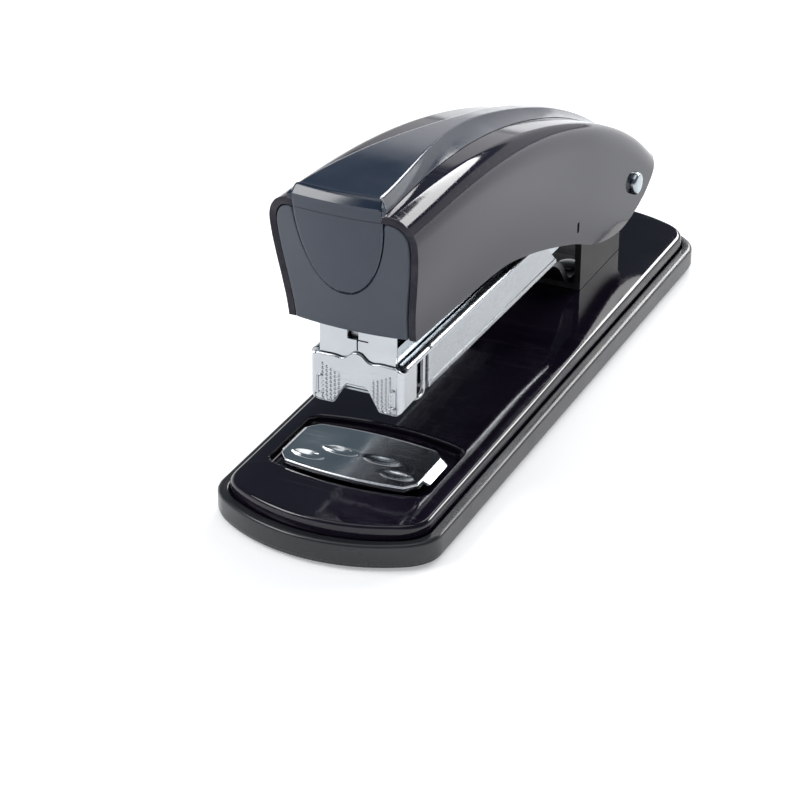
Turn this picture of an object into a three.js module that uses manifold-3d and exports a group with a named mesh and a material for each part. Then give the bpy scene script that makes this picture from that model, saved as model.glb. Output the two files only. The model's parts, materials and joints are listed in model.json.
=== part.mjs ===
// Desk stapler with a deep throat, all metal, for 13 mm wide staples with 6 mm legs.
// Millimetres. +X is right, +Y is to the rear, +Z is up.
// The origin is on the desk, under the middle of the base.

import * as THREE from 'three';
import { mergeVertices } from 'three/addons/utils/BufferGeometryUtils.js';
import Module from 'manifold-3d';

const wasm = await Module();
wasm.setup();

// ---------------------------------------------------------------- driving dimensions

const BASE_LENGTH = 170;
const BASE_WIDTH = 50;
const BASE_TOP = 9;
const FOOT_HEIGHT = 0.6;
const PLATE_HALF_WIDTH = 22.3;
const SHEET = 1.2;

const PIN_Y = 61;
const PIN_Z = 26;
const PIN_RADIUS = 2.2;
const PIN_HOLE_RADIUS = 2.28;

const REST_TILT_DEG = 1.2;
const STROKE_DEG = 4.25;

const ANVIL_Y = -57.6;
const ANVIL_RAISE = 0.2;
const ANVIL_THICKNESS = 1.1;
const ANVIL_HALF_WIDTH = 15.6;
const ANVIL_DEPTH = 18.6;
const ANVIL_BOW = 82;
const ANVIL_SLIDE = 4.1;
const INNER_CLINCH_Y = -57.8;
const OUTER_CLINCH_Y = INNER_CLINCH_Y - ANVIL_SLIDE;

const NOSE_U = -121;
const NOSE_REAR = -114.2;
const NOSE_HALF_WIDTH = 10.4;
const CHANNEL_HALF_WIDTH = 10.9;
const CORE_HALF_WIDTH = 8.5;
const CORE_WALL = 1;

const STAPLE_WIDTH = 12.9;
const STAPLE_LEG = 6;
const STAPLE_WIRE = 0.5;
const STRIP_LENGTH = 50;

const HANDLE_WALL = 1.5;
const GAP = 0.3;

// ---------------------------------------------------------------- solids and cuts

// A closed mesh as a solid that can be joined and cut.
function solid(geometry) {
  const bare = geometry.clone();
  bare.deleteAttribute('normal');
  bare.deleteAttribute('uv');
  const merged = mergeVertices(bare, 1e-5);
  const vertProperties = new Float32Array(merged.attributes.position.array);
  const triVerts = new Uint32Array(merged.index.array);
  return new wasm.Manifold(new wasm.Mesh({ numProp: 3, vertProperties, triVerts }));
}

function join(first, ...others) {
  return others.reduce((sum, next) => sum.add(next), first);
}

function cut(body, ...tools) {
  return tools.reduce((rest, tool) => rest.subtract(tool), body);
}

// The solid back as a geometry with flat shading.
function geometryOf(body) {
  const mesh = body.getMesh();
  const geometry = new THREE.BufferGeometry();
  geometry.setAttribute('position', new THREE.BufferAttribute(mesh.vertProperties, 3));
  geometry.setIndex(new THREE.BufferAttribute(mesh.triVerts, 1));
  geometry.computeVertexNormals();
  return geometry;
}

// ---------------------------------------------------------------- shapes

const X = new THREE.Vector3(1, 0, 0);
const Y = new THREE.Vector3(0, 1, 0);
const Z = new THREE.Vector3(0, 0, 1);

function box(x0, x1, y0, y1, z0, z1) {
  const geometry = new THREE.BoxGeometry(x1 - x0, y1 - y0, z1 - z0);
  return solid(geometry.translate((x0 + x1) / 2, (y0 + y1) / 2, (z0 + z1) / 2));
}

function polygon(points) {
  return new THREE.Shape(points.map(([a, b]) => new THREE.Vector2(a, b)));
}

// An outline in the Y-Z plane, extruded from x0 to x1.
function alongX(shape, x0, x1, curveSegments = 8) {
  const geometry = new THREE.ExtrudeGeometry(shape, { depth: x1 - x0, bevelEnabled: false, curveSegments });
  geometry.applyMatrix4(new THREE.Matrix4().makeBasis(Y, Z, X));
  return solid(geometry.translate(x0, 0, 0));
}

// An outline in the X-Z plane, extruded from y0 to y1.
function alongY(shape, y0, y1, curveSegments = 8) {
  const geometry = new THREE.ExtrudeGeometry(shape, { depth: y1 - y0, bevelEnabled: false, curveSegments });
  geometry.applyMatrix4(new THREE.Matrix4().makeBasis(X, Z, Y.clone().negate()));
  return solid(geometry.translate(0, y1, 0));
}

// An outline in the X-Y plane, extruded from z0 to z1.
function alongZ(shape, z0, z1, curveSegments = 8) {
  const geometry = new THREE.ExtrudeGeometry(shape, { depth: z1 - z0, bevelEnabled: false, curveSegments });
  return solid(geometry.translate(0, 0, z0));
}

function cylinderX(radius, x0, x1, y, z, sides = 32) {
  const geometry = new THREE.CylinderGeometry(radius, radius, x1 - x0, sides).rotateZ(-Math.PI / 2);
  return solid(geometry.translate((x0 + x1) / 2, y, z));
}

function cylinderY(radius, y0, y1, x, z, sides = 16) {
  const geometry = new THREE.CylinderGeometry(radius, radius, y1 - y0, sides);
  return solid(geometry.translate(x, (y0 + y1) / 2, z));
}

function cylinderZ(radius, z0, z1, x, y, sides = 24) {
  const geometry = new THREE.CylinderGeometry(radius, radius, z1 - z0, sides).rotateX(Math.PI / 2);
  return solid(geometry.translate(x, y, (z0 + z1) / 2));
}

// A round wire along a curve.
function wire(curve, radius, steps, sides = 8) {
  const section = new THREE.Shape();
  section.absarc(0, 0, radius, 0, Math.PI * 2, false);
  const options = { steps, curveSegments: sides / 2, extrudePath: curve, bevelEnabled: false };
  return solid(new THREE.ExtrudeGeometry(section, options));
}

// The centre line of a coil spring, from one point along a straight axis.
class Coil extends THREE.Curve {
  constructor(radius, length, turns, toPoint) {
    super();
    Object.assign(this, { radius, length, turns, toPoint });
  }

  getPoint(t, target = new THREE.Vector3()) {
    const angle = t * this.turns * Math.PI * 2;
    const across = this.radius * Math.cos(angle);
    const up = this.radius * Math.sin(angle);
    return this.toPoint(target, across, up, t * this.length);
  }
}

function coilZ(radius, wireRadius, z0, z1, x, y, turns) {
  const toPoint = (target, across, up, along) => target.set(x + across, y + up, z0 + wireRadius + along);
  const curve = new Coil(radius, z1 - z0 - 2 * wireRadius, turns, toPoint);
  return wire(curve, wireRadius, turns * 10, 6);
}

function coilY(radius, wireRadius, y0, y1, x, z, turns) {
  const toPoint = (target, across, up, along) => target.set(x + across, y0 + wireRadius + along, z - up);
  const curve = new Coil(radius, y1 - y0 - 2 * wireRadius, turns, toPoint);
  return wire(curve, wireRadius, turns * 8, 6);
}

// ---------------------------------------------------------------- the assembly

const part = new THREE.Group();
const magazine = new THREE.Group();
const driverStroke = new THREE.Group();

// The magazine group is drawn level about the hinge pin, and rests with its nose a little up.
magazine.position.set(0, PIN_Y, PIN_Z);
magazine.rotation.x = THREE.MathUtils.degToRad(-REST_TILT_DEG);
part.add(magazine);

// The driver is drawn at the end of its stroke, square to the magazine, and turned back up.
driverStroke.rotation.x = THREE.MathUtils.degToRad(-STROKE_DEG);
magazine.add(driverStroke);

const STEEL_BLACK = { color: 0x121116, roughness: 0.25, metalness: 0.1 };
const HANDLE_BLACK = { color: 0x2c2c31, roughness: 0.28, metalness: 0.1 };
const PLASTIC_DARK = { color: 0x4a505c, roughness: 0.55, metalness: 0 };
const PLASTIC_BLACK = { color: 0x16161a, roughness: 0.5, metalness: 0 };
const RUBBER_BLACK = { color: 0x1c1c1e, roughness: 0.9, metalness: 0 };
const CHROME = { color: 0xd9dde2, roughness: 0.15, metalness: 1 };
const ZINC = { color: 0xb9bfc4, roughness: 0.4, metalness: 0.9 };
const SPRING_STEEL = { color: 0x9a9ea4, roughness: 0.35, metalness: 0.9 };

function add(group, name, body, finish) {
  const mesh = new THREE.Mesh(geometryOf(body), new THREE.MeshStandardMaterial(finish));
  mesh.name = name;
  group.add(mesh);
}

// ---------------------------------------------------------------- base

// A long outline with straight sides and bowed ends, for the plate, the tray and their hollows.
function baseOutline(halfWidth, halfLength, bow = 38, corner = 4) {
  const sagitta = bow - Math.sqrt(bow ** 2 - halfWidth ** 2);
  const endAngle = Math.asin((halfWidth - corner) / bow);
  const cornerY = halfLength - bow + bow * Math.cos(endAngle);
  const cornerX = bow * Math.sin(endAngle);
  const sideY = halfLength - sagitta - corner;
  const shape = new THREE.Shape();
  shape.moveTo(halfWidth, -sideY);
  shape.lineTo(halfWidth, sideY);
  shape.quadraticCurveTo(halfWidth, halfLength - sagitta, cornerX, cornerY);
  shape.absarc(0, halfLength - bow, bow, Math.PI / 2 - endAngle, Math.PI / 2 + endAngle, false);
  shape.quadraticCurveTo(-halfWidth, halfLength - sagitta, -halfWidth, sideY);
  shape.lineTo(-halfWidth, -sideY);
  shape.quadraticCurveTo(-halfWidth, sagitta - halfLength, -cornerX, -cornerY);
  shape.absarc(0, bow - halfLength, bow, Math.PI * 1.5 - endAngle, Math.PI * 1.5 + endAngle, false);
  shape.quadraticCurveTo(halfWidth, sagitta - halfLength, halfWidth, -sideY);
  return shape;
}

const PLATE_HALF_LENGTH = BASE_LENGTH / 2 - 2.7;
const RECESS_FLOOR = BASE_TOP - 1.9;
const RECESS_HALF_WIDTH = 18;
const RECESS_REAR = -42;
const RECESS_FRONT = ANVIL_Y - ANVIL_DEPTH / 2 - 0.8;
const RECESS_BOW = 60;

// The barrel shape that both the anvil plate and its recess have, with bowed ends and cut corners.
function barrelOutline(halfWidth, front, rear, bow, corner) {
  const sagitta = bow - Math.sqrt(bow ** 2 - halfWidth ** 2);
  const bowAngle = Math.asin((halfWidth - corner) / bow);
  const shape = new THREE.Shape();
  shape.moveTo(halfWidth, front + sagitta + corner);
  shape.lineTo(halfWidth, rear - sagitta - corner);
  shape.absarc(0, rear - bow, bow, Math.PI / 2 - bowAngle, Math.PI / 2 + bowAngle, false);
  shape.lineTo(-halfWidth, rear - sagitta - corner);
  shape.lineTo(-halfWidth, front + sagitta + corner);
  shape.absarc(0, front + bow, bow, Math.PI * 1.5 - bowAngle, Math.PI * 1.5 + bowAngle, false);
  return shape;
}

function basePlate() {
  const shoulder = 1.5;
  const outline = baseOutline(PLATE_HALF_WIDTH - shoulder, PLATE_HALF_LENGTH - shoulder);
  const skirtBottom = 3.4;
  const pressed = solid(new THREE.ExtrudeGeometry(outline, {
    depth: BASE_TOP - shoulder - skirtBottom,
    bevelEnabled: true,
    bevelThickness: shoulder,
    bevelSize: shoulder,
    bevelSegments: 2,
    curveSegments: 6,
  }).translate(0, 0, skirtBottom));
  const hollowOutline = baseOutline(PLATE_HALF_WIDTH - SHEET, PLATE_HALF_LENGTH - SHEET);
  const hollow = alongZ(hollowOutline, 0, BASE_TOP - SHEET, 6);
  const below = box(-60, 60, -100, 100, 0, skirtBottom);
  const recessCorner = 1;
  const recessOutline = barrelOutline(RECESS_HALF_WIDTH, RECESS_FRONT, RECESS_REAR, RECESS_BOW, recessCorner);
  const wallOutline = barrelOutline(
    RECESS_HALF_WIDTH + SHEET,
    RECESS_FRONT - SHEET,
    RECESS_REAR + SHEET,
    RECESS_BOW + SHEET,
    recessCorner,
  );
  const recessWall = alongZ(wallOutline, RECESS_FLOOR - SHEET, BASE_TOP - SHEET / 2);
  const recess = alongZ(recessOutline, RECESS_FLOOR, BASE_TOP + 1);
  const studEnd = STUD_SHANK + GAP;
  const studSlot = box(-studEnd, studEnd, ANVIL_Y - studEnd, ANVIL_Y + ANVIL_SLIDE + studEnd, 0, BASE_TOP);
  const shell = join(cut(pressed, hollow, below), recessWall);
  return cut(shell, recess, studSlot, ...BRACKET_RIVETS.map(([x, y]) => cylinderZ(1.55, 0, 12, x, y, 16)));
}

// The four rivets that hold the bracket to the plate; the front two hold the lift spring as well.
const LEAF_THICKNESS = 0.9;
const BRACKET_RIVETS = [[-5.5, 41], [5.5, 41], [-5.5, 54.5], [5.5, 54.5]];

function baseTray() {
  const floorTop = 2.4;
  const rimTop = 6;
  const rim = baseOutline(BASE_WIDTH / 2, BASE_LENGTH / 2);
  const rimInner = baseOutline(PLATE_HALF_WIDTH + GAP, PLATE_HALF_LENGTH + GAP);
  const rimBody = alongZ(rim, FOOT_HEIGHT, rimTop, 6);
  const edge = 0.8;
  const ledge = solid(new THREE.ExtrudeGeometry(baseOutline(BASE_WIDTH / 2 - edge, BASE_LENGTH / 2 - edge), {
    depth: rimTop - FOOT_HEIGHT - edge,
    bevelEnabled: true,
    bevelThickness: edge,
    bevelSize: edge,
    bevelSegments: 1,
    curveSegments: 6,
  }).translate(0, 0, FOOT_HEIGHT));
  const rounded = rimBody.intersect(ledge);
  return cut(rounded, alongZ(rimInner, floorTop, rimTop + 1, 6));
}

// A rubber foot with round ends, lying along the base under one corner.
function foot(x, y) {
  const halfLength = 9;
  const radius = 4;
  const pad = new THREE.Shape();
  pad.absarc(x, y + halfLength - radius, radius, 0, Math.PI, false);
  pad.absarc(x, y - halfLength + radius, radius, Math.PI, Math.PI * 2, false);
  return alongZ(pad, 0, FOOT_HEIGHT - 0.02);
}

// ---------------------------------------------------------------- rear bracket, pin and lift spring

const BRACKET_HALF_WIDTH = 11.2;
const BRACKET_SHEET = 1.5;
const BRACKET_FLOOR = BASE_TOP + 0.1;
const BRACKET_FRONT = 34.2;
const BRACKET_REAR = 59;

function rearBracket() {
  const ear = new THREE.Shape();
  ear.moveTo(BRACKET_FRONT, BRACKET_FLOOR);
  ear.lineTo(BRACKET_REAR, BRACKET_FLOOR);
  ear.lineTo(BRACKET_REAR, 14.5);
  ear.lineTo(PIN_Y + 5.2, PIN_Z - 4);
  ear.absarc(PIN_Y, PIN_Z, 6.6, -0.65, Math.PI / 2 + 0.35, false);
  ear.lineTo(47, 30.5);
  ear.quadraticCurveTo(BRACKET_FRONT, 29, BRACKET_FRONT, 22);
  const block = alongX(ear, -BRACKET_HALF_WIDTH, BRACKET_HALF_WIDTH, 6);
  const inner = BRACKET_HALF_WIDTH - BRACKET_SHEET;
  const between = box(-inner, inner, 0, 90, BRACKET_FLOOR + BRACKET_SHEET, 60);
  const pinHole = cylinderX(PIN_HOLE_RADIUS, -20, 20, PIN_Y, PIN_Z, 48);
  return cut(block, between, pinHole, ...BRACKET_RIVETS.map(([x, y]) => cylinderZ(1.55, 0, 20, x, y, 16)));
}

// A rivet that stands in a plain hole, with a low head above and a formed head below.
function rivet(x, y, gripBottom, gripTop, shank = 1.5, head = 2.6, headHeight = 0.8) {
  const profile = [
    [0, gripBottom - headHeight],
    [head * 0.8, gripBottom - headHeight],
    [head, gripBottom - 0.05],
    [shank, gripBottom - 0.05],
    [shank, gripTop + 0.05],
    [head, gripTop + 0.05],
    [head * 0.75, gripTop + headHeight * 0.75],
    [0, gripTop + headHeight],
  ];
  return lathe(profile, 16).translate([x, y, 0]);
}

// A turned solid about a vertical axis; the profile runs from the axis back to the axis.
function lathe(profile, sides) {
  const points = profile.map(([radius, height]) => new THREE.Vector2(radius, height));
  return solid(new THREE.LatheGeometry(points, sides).rotateX(Math.PI / 2));
}

function pivotPin() {
  const end = 14.6;
  const headRadius = PIN_RADIUS + 0.5;
  const shank = cylinderX(PIN_RADIUS, -end, end, PIN_Y, PIN_Z, 48);
  const heads = [-1, 1].map((side) => {
    const inner = side * 13.75;
    const outer = side * 15.1;
    return cylinderX(headRadius, Math.min(inner, outer), Math.max(inner, outer), PIN_Y, PIN_Z, 24);
  });
  return join(shank, ...heads);
}

const LIFT_SPRING_HALF_WIDTH = 8.6;

// A leaf that lies on the bracket's floor, comes forward and bends up under the magazine.
function liftSpring() {
  const thick = LEAF_THICKNESS;
  const floor = BRACKET_FLOOR + BRACKET_SHEET + 0.05;
  const tipY = 23.5;
  const tipZ = 20.6;
  const leaf = new THREE.Shape();
  leaf.moveTo(46, floor);
  leaf.lineTo(46, floor + thick);
  leaf.lineTo(36, floor + thick);
  leaf.bezierCurveTo(31, floor + thick, 33, 17.2, tipY, tipZ);
  leaf.absarc(tipY - 0.6, tipZ - 0.35, 0.7, 0.6, Math.PI + 0.4, false);
  leaf.bezierCurveTo(31, 16.8, 29, floor, 35.5, floor);
  const blank = alongX(leaf, -LIFT_SPRING_HALF_WIDTH, LIFT_SPRING_HALF_WIDTH, 8);
  return cut(blank, ...BRACKET_RIVETS.map(([x, y]) => cylinderZ(1.55, 0, 20, x, y, 16)));
}

// ---------------------------------------------------------------- anvil

const ANVIL_BOTTOM = BASE_TOP + ANVIL_RAISE;
const ANVIL_TOP = ANVIL_BOTTOM + ANVIL_THICKNESS;
const STUD_SHANK = 1.5;
const ANVIL_SPRING_ROOM = 0.5;

// The plate with its two pairs of clinch grooves and a wing bent down at each side to push it by.
function anvilPlate() {
  const front = ANVIL_Y - ANVIL_DEPTH / 2;
  const rear = ANVIL_Y + ANVIL_DEPTH / 2;
  const plate = alongZ(barrelOutline(ANVIL_HALF_WIDTH, front, rear, ANVIL_BOW, 2.2), ANVIL_BOTTOM, ANVIL_TOP);
  const grooveHalfWidth = 1.5;
  const grooveDepth = 0.5;
  const groove = (x, y, length) => {
    const bowl = new THREE.SphereGeometry(1, 12, 6).scale(length / 2, grooveHalfWidth, grooveDepth);
    return solid(bowl.translate(x, y, ANVIL_TOP + 0.08));
  };
  const inner = [-1, 1].map((side) => groove(side * 4.6, INNER_CLINCH_Y, 8.2));
  const outer = [-1, 1].map((side) => groove(side * 10, OUTER_CLINCH_Y, 7.6));
  const studHole = cylinderZ(STUD_SHANK + 0.1, ANVIL_BOTTOM - 1, ANVIL_BOTTOM + 0.5, 0, ANVIL_Y);
  return cut(join(plate, anvilWing(1), anvilWing(-1)), ...inner, ...outer, studHole);
}

// A wing that turns down and outward from the side of the plate; its front end is cut on the slant.
function anvilWing(side) {
  const rear = ANVIL_Y + 5.9;
  const front = ANVIL_Y - 4.4;
  const slant = 1.6;
  const root = ANVIL_HALF_WIDTH - 0.6;
  const tipOut = 16.95;
  const tipIn = 16.2;
  const section = polygon([
    [root, ANVIL_TOP],
    [ANVIL_HALF_WIDTH, ANVIL_TOP],
    [tipOut, BASE_TOP],
    [tipIn, BASE_TOP - 0.6],
    [ANVIL_HALF_WIDTH - 0.3, ANVIL_BOTTOM],
    [root, ANVIL_BOTTOM],
  ]);
  const slope = polygon([
    [front - 5, ANVIL_TOP + 1],
    [front - 0.3, ANVIL_TOP + 1],
    [front + slant, BASE_TOP - 1],
    [front - 5, BASE_TOP - 1],
  ]);
  const wing = cut(alongY(section, front, rear), alongX(slope, 0, 30));
  return side > 0 ? wing : wing.mirror([1, 0, 0]);
}

// The turned stud under the plate: a collar that slides on the recess floor, and a foot under the spring.
function anvilStud() {
  const footTop = RECESS_FLOOR - SHEET - ANVIL_SPRING_ROOM;
  const profile = [
    [0, footTop - 0.9],
    [2.9, footTop - 0.9],
    [2.9, footTop],
    [STUD_SHANK, footTop],
    [STUD_SHANK, RECESS_FLOOR + 0.05],
    [3.2, RECESS_FLOOR + 0.05],
    [3.2, ANVIL_BOTTOM - 0.05],
    [STUD_SHANK, ANVIL_BOTTOM - 0.05],
    [STUD_SHANK, ANVIL_BOTTOM + 0.4],
    [0, ANVIL_BOTTOM + 0.4],
  ];
  return lathe(profile, 24).translate([0, ANVIL_Y, 0]);
}

// A spring washer round the stud that holds the plate down and lets it click from place to place.
function anvilSpring() {
  const top = RECESS_FLOOR - SHEET - 0.05;
  const bottom = top - ANVIL_SPRING_ROOM + 0.1;
  const disc = cylinderZ(4.4, bottom, top, 0, ANVIL_Y, 32);
  return cut(disc, cylinderZ(STUD_SHANK + 0.1, bottom - 1, top + 1, 0, ANVIL_Y));
}

// ---------------------------------------------------------------- magazine, drawn about the hinge pin

const CHANNEL_BOTTOM = -4.74;
const CHANNEL_TOP = 4.9;
const CHANNEL_FRONT = -109;
const RIB_FRONT = -119.2;
const RIB_BOTTOM = 3.7;
const CHANNEL_REAR = -41.5;
const CORE_FLOOR = -4.04;
const CORE_FLOOR_TOP = -3.54;
const CORE_TOP = 8.6;
const CORE_FRONT = -119.2;

// The cast outer channel, open above and at both ends, cut at an angle at the rear.
// A rib along the top of each side runs on to the front.
function magazineChannel() {
  const wall = 2.1;
  const rearSlope = 9.3;
  const side = polygon([
    [CHANNEL_FRONT, CHANNEL_BOTTOM],
    [CHANNEL_REAR, CHANNEL_BOTTOM],
    [CHANNEL_REAR, CHANNEL_BOTTOM + 1.2],
    [CHANNEL_REAR - rearSlope, CHANNEL_TOP],
    [CHANNEL_FRONT, CHANNEL_TOP],
  ]);
  const block = alongX(side, -CHANNEL_HALF_WIDTH, CHANNEL_HALF_WIDTH);
  const inner = CHANNEL_HALF_WIDTH - wall;
  const hollow = box(-inner, inner, -130, 0, CHANNEL_BOTTOM + 0.6, 10);
  const lip = CHANNEL_HALF_WIDTH + 0.35;
  const band = box(-lip, lip, CHANNEL_FRONT, CHANNEL_REAR, CHANNEL_BOTTOM, CHANNEL_BOTTOM + 1.8);
  const outer = CHANNEL_HALF_WIDTH;
  const ribs = box(-outer, outer, RIB_FRONT, CHANNEL_FRONT, RIB_BOTTOM, CHANNEL_TOP);
  return cut(join(block, band, ribs), hollow);
}

// The folded inner channel that the staples slide in, with two arms back to the hinge pin.
function magazineCore() {
  const armSide = new THREE.Shape();
  armSide.moveTo(CORE_FRONT, CORE_FLOOR);
  armSide.lineTo(-12, CORE_FLOOR);
  armSide.absarc(0, 0, 5.2, -2.2, Math.PI / 2, false);
  armSide.lineTo(-32, 5.2);
  armSide.lineTo(-44, CORE_TOP);
  armSide.lineTo(CORE_FRONT, CORE_TOP);
  const block = alongX(armSide, -CORE_HALF_WIDTH, CORE_HALF_WIDTH, 6);
  const inner = CORE_HALF_WIDTH - CORE_WALL;
  const hollow = box(-inner, inner, -130, -33, CORE_FLOOR_TOP, 20);
  const underBridge = box(-inner, inner, -34, 20, CORE_FLOOR_TOP, 4.2);
  const behindBridge = box(-inner, inner, -13, 20, CORE_FLOOR_TOP - 5, 20);
  const exitSlot = box(-inner, inner, -130, -117.5, -20, 20);
  const pinHole = cylinderX(PIN_HOLE_RADIUS, -20, 20, 0, 0, 48);
  return cut(block, hollow, underBridge, behindBridge, exitSlot, pinHole);
}

// The front wall above the nose, with a small notch and a slit down from it.
function frontPlate() {
  const plate = box(-CORE_HALF_WIDTH, CORE_HALF_WIDTH, -120.1, -119.4, -1.8, 12.4);
  const notch = box(-2.3, 0.2, -125, -110, 8.9, 11.2);
  const slit = box(-0.2, 0.2, -125, -110, 4.6, 9.2);
  return cut(plate, notch, slit);
}

// The nose: a thin apron in front of the wall, two legs with an arch between, and side cheeks.
function nosePiece() {
  const half = NOSE_HALF_WIDTH;
  const corner = 1.5;
  const plan = new THREE.Shape();
  plan.moveTo(half, NOSE_REAR);
  plan.lineTo(-half, NOSE_REAR);
  plan.lineTo(-half, NOSE_U + corner);
  plan.quadraticCurveTo(-half, NOSE_U, -half + corner, NOSE_U);
  plan.lineTo(half - corner, NOSE_U);
  plan.quadraticCurveTo(half, NOSE_U, half, NOSE_U + corner);
  const footCorner = -4.9;
  const footBottom = -6.1;
  const archTop = -1.3;
  const front = new THREE.Shape();
  front.moveTo(-half, footCorner);
  front.lineTo(-half, 3.7);
  front.lineTo(-half + 1, 4.6);
  front.bezierCurveTo(-6, 4.8, -4, 4.4, -2.6, 4.8);
  front.quadraticCurveTo(0, 7.8, 2.6, 4.8);
  front.bezierCurveTo(4, 4.4, 6, 4.8, half - 1, 4.6);
  front.lineTo(half, 3.7);
  front.lineTo(half, footCorner);
  front.lineTo(half - 1.3, footBottom);
  front.lineTo(5.3, footBottom);
  front.lineTo(2.4, archTop);
  front.lineTo(-2.4, archTop);
  front.lineTo(-5.3, footBottom);
  front.lineTo(1.3 - half, footBottom);
  const block = alongZ(plan, -7, 8).intersect(alongY(front, -122, -110));
  const lift = polygon([[-118, -8], [-110, -8], [-110, CHANNEL_BOTTOM], [-116, CHANNEL_BOTTOM]]);
  const inner = CORE_HALF_WIDTH + GAP;
  const forCore = box(-inner, inner, -119.4, -100, CORE_FLOOR - GAP, 20);
  const forPlate = box(-inner, inner, -120.3, -100, -2, 20);
  const behindApron = box(-inner, inner, -119.4, -110, -10, -4.2);
  const underRibs = box(-20, 20, RIB_FRONT - 0.2, -100, RIB_BOTTOM - 0.15, 20);
  return cut(block, alongX(lift, -20, 20), forCore, forPlate, behindApron, underRibs);
}

// A wire clip that comes down each side behind the nose, bends forward and crosses under the core.
function noseWire() {
  const half = 9.9;
  const top = 3.4;
  const bottom = -5.25;
  const [rear, front] = [-110, -113.6];
  const bend = 1.4;
  const side = [
    [half, rear, top],
    [half, rear, bottom + bend],
    [half, rear - 0.4, bottom + 0.4],
    [half, rear - bend, bottom],
    [half, front + bend, bottom],
    [half - 0.4, front + 0.4, bottom],
    [half - bend, front, bottom],
  ];
  const otherSide = side.map(([x, y, z]) => [-x, y, z]).reverse();
  const points = [...side, ...otherSide].map(([x, y, z]) => new THREE.Vector3(x, y, z));
  return wire(new THREE.CatmullRomCurve3(points, false, 'centripetal'), 0.45, 56, 6);
}

const RAIL_TOP = CORE_FLOOR_TOP + STAPLE_LEG - STAPLE_WIRE - 0.1;
const STRIP_FRONT = -117.6;
const RAIL_REAR = -14;

// The inner rail that the staples ride astride, a folded channel open below, slotted along its top.
function stapleRail() {
  const half = STAPLE_WIDTH / 2 - STAPLE_WIRE - 0.25;
  const bottom = CORE_FLOOR_TOP + 0.05;
  const block = box(-half, half, STRIP_FRONT + 0.3, RAIL_REAR, bottom, RAIL_TOP);
  const hollow = box(-half + 0.9, half - 0.9, STRIP_FRONT + 1.3, RAIL_REAR - 1, -10, RAIL_TOP - 0.9);
  const slot = box(-1.4, 1.4, -71, RAIL_REAR - 3, -10, 10);
  return cut(block, hollow, slot);
}

function stapleStrip() {
  const half = STAPLE_WIDTH / 2;
  const bottom = CORE_FLOOR_TOP + 0.1;
  const top = bottom + STAPLE_LEG;
  const rear = STRIP_FRONT + STRIP_LENGTH;
  const block = box(-half, half, STRIP_FRONT, rear, bottom, top);
  return cut(block, box(-half + STAPLE_WIRE, half - STAPLE_WIRE, -130, 0, -10, top - STAPLE_WIRE));
}

const PUSHER_FRONT = STRIP_FRONT + STRIP_LENGTH + 0.2;
const PUSHER_REAR = PUSHER_FRONT + 14;
const ROD_Z = -1.1;

// The pusher straddles the rail behind the staples; its tab hangs through the slot onto the rod.
function pusher() {
  const half = STAPLE_WIDTH / 2;
  const bottom = CORE_FLOOR_TOP + 0.15;
  const top = RAIL_TOP + 1.4;
  const saddle = box(-half, half, PUSHER_FRONT, PUSHER_REAR, bottom, top);
  const overRail = STAPLE_WIDTH / 2 - STAPLE_WIRE - 0.1;
  const hollow = box(-overRail, overRail, -130, 0, -10, RAIL_TOP + 0.15);
  const tab = box(-1.1, 1.1, PUSHER_REAR - 3.4, PUSHER_REAR, ROD_Z - 1.5, top - 0.2);
  const rodHole = cylinderY(0.75, -130, 0, 0, ROD_Z);
  return cut(join(cut(saddle, hollow), tab), rodHole);
}

function guideRod() {
  return cylinderY(0.6, STRIP_FRONT + 1.6, RAIL_REAR - 1.2, 0, ROD_Z);
}

function pusherSpring() {
  return coilY(1.25, 0.25, PUSHER_REAR + 0.1, RAIL_REAR - 1.3, 0, ROD_Z, 14);
}

const HANDLE_SPRING_U = -22.5;

function handleSpring() {
  return coilZ(3.9, 0.5, 5.35, 15.2, 0, HANDLE_SPRING_U, 5);
}

// ---------------------------------------------------------------- handle

// The crest and the lower edge of the handle in the side view, as smooth curves through these points.
const HANDLE_CREST = [
  [-68.5, 73.3], [-45, 72], [-25, 69.6], [-5, 65.6], [15, 60], [35, 52.8], [52, 45], [66, 37], [77.4, 28.6],
];
const HANDLE_EDGE = [
  [-61.6, 41.3], [-40, 40.1], [-18, 38.4], [-4, 35.2], [9, 31.2],
  [24, 25.8], [38, 19.9], [54, 16.9], [68, 19.9], [77, 26.4],
];
const HANDLE_FRONT = -70;
const HANDLE_REAR = 78;
const INLAY_HEIGHT_FRONT = 3.3;
const INLAY_HEIGHT_REAR = 1.5;
const ROOF_HALF_WIDTH = 10.7;

function splineThrough(points) {
  return new THREE.SplineCurve(points.map(([a, b]) => new THREE.Vector2(a, b)));
}

// How far y lies along the handle, from 0 at the front to 1 at the rear, held at both ends.
function alongHandle(y, front = HANDLE_FRONT, rear = HANDLE_REAR) {
  return THREE.MathUtils.clamp((y - front) / (rear - front), 0, 1);
}

function crestHeight(y) {
  const points = splineThrough(HANDLE_CREST).getPoints(64);
  const place = THREE.MathUtils.clamp(y, points[0].x, points[points.length - 1].x);
  const next = Math.max(1, points.findIndex((point) => point.x >= place));
  const [low, high] = [points[next - 1], points[next]];
  return THREE.MathUtils.mapLinear(place, low.x, high.x, low.y, high.y);
}

function roofHeight(y) {
  return crestHeight(y) - THREE.MathUtils.lerp(INLAY_HEIGHT_FRONT, INLAY_HEIGHT_REAR, alongHandle(y));
}

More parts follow.
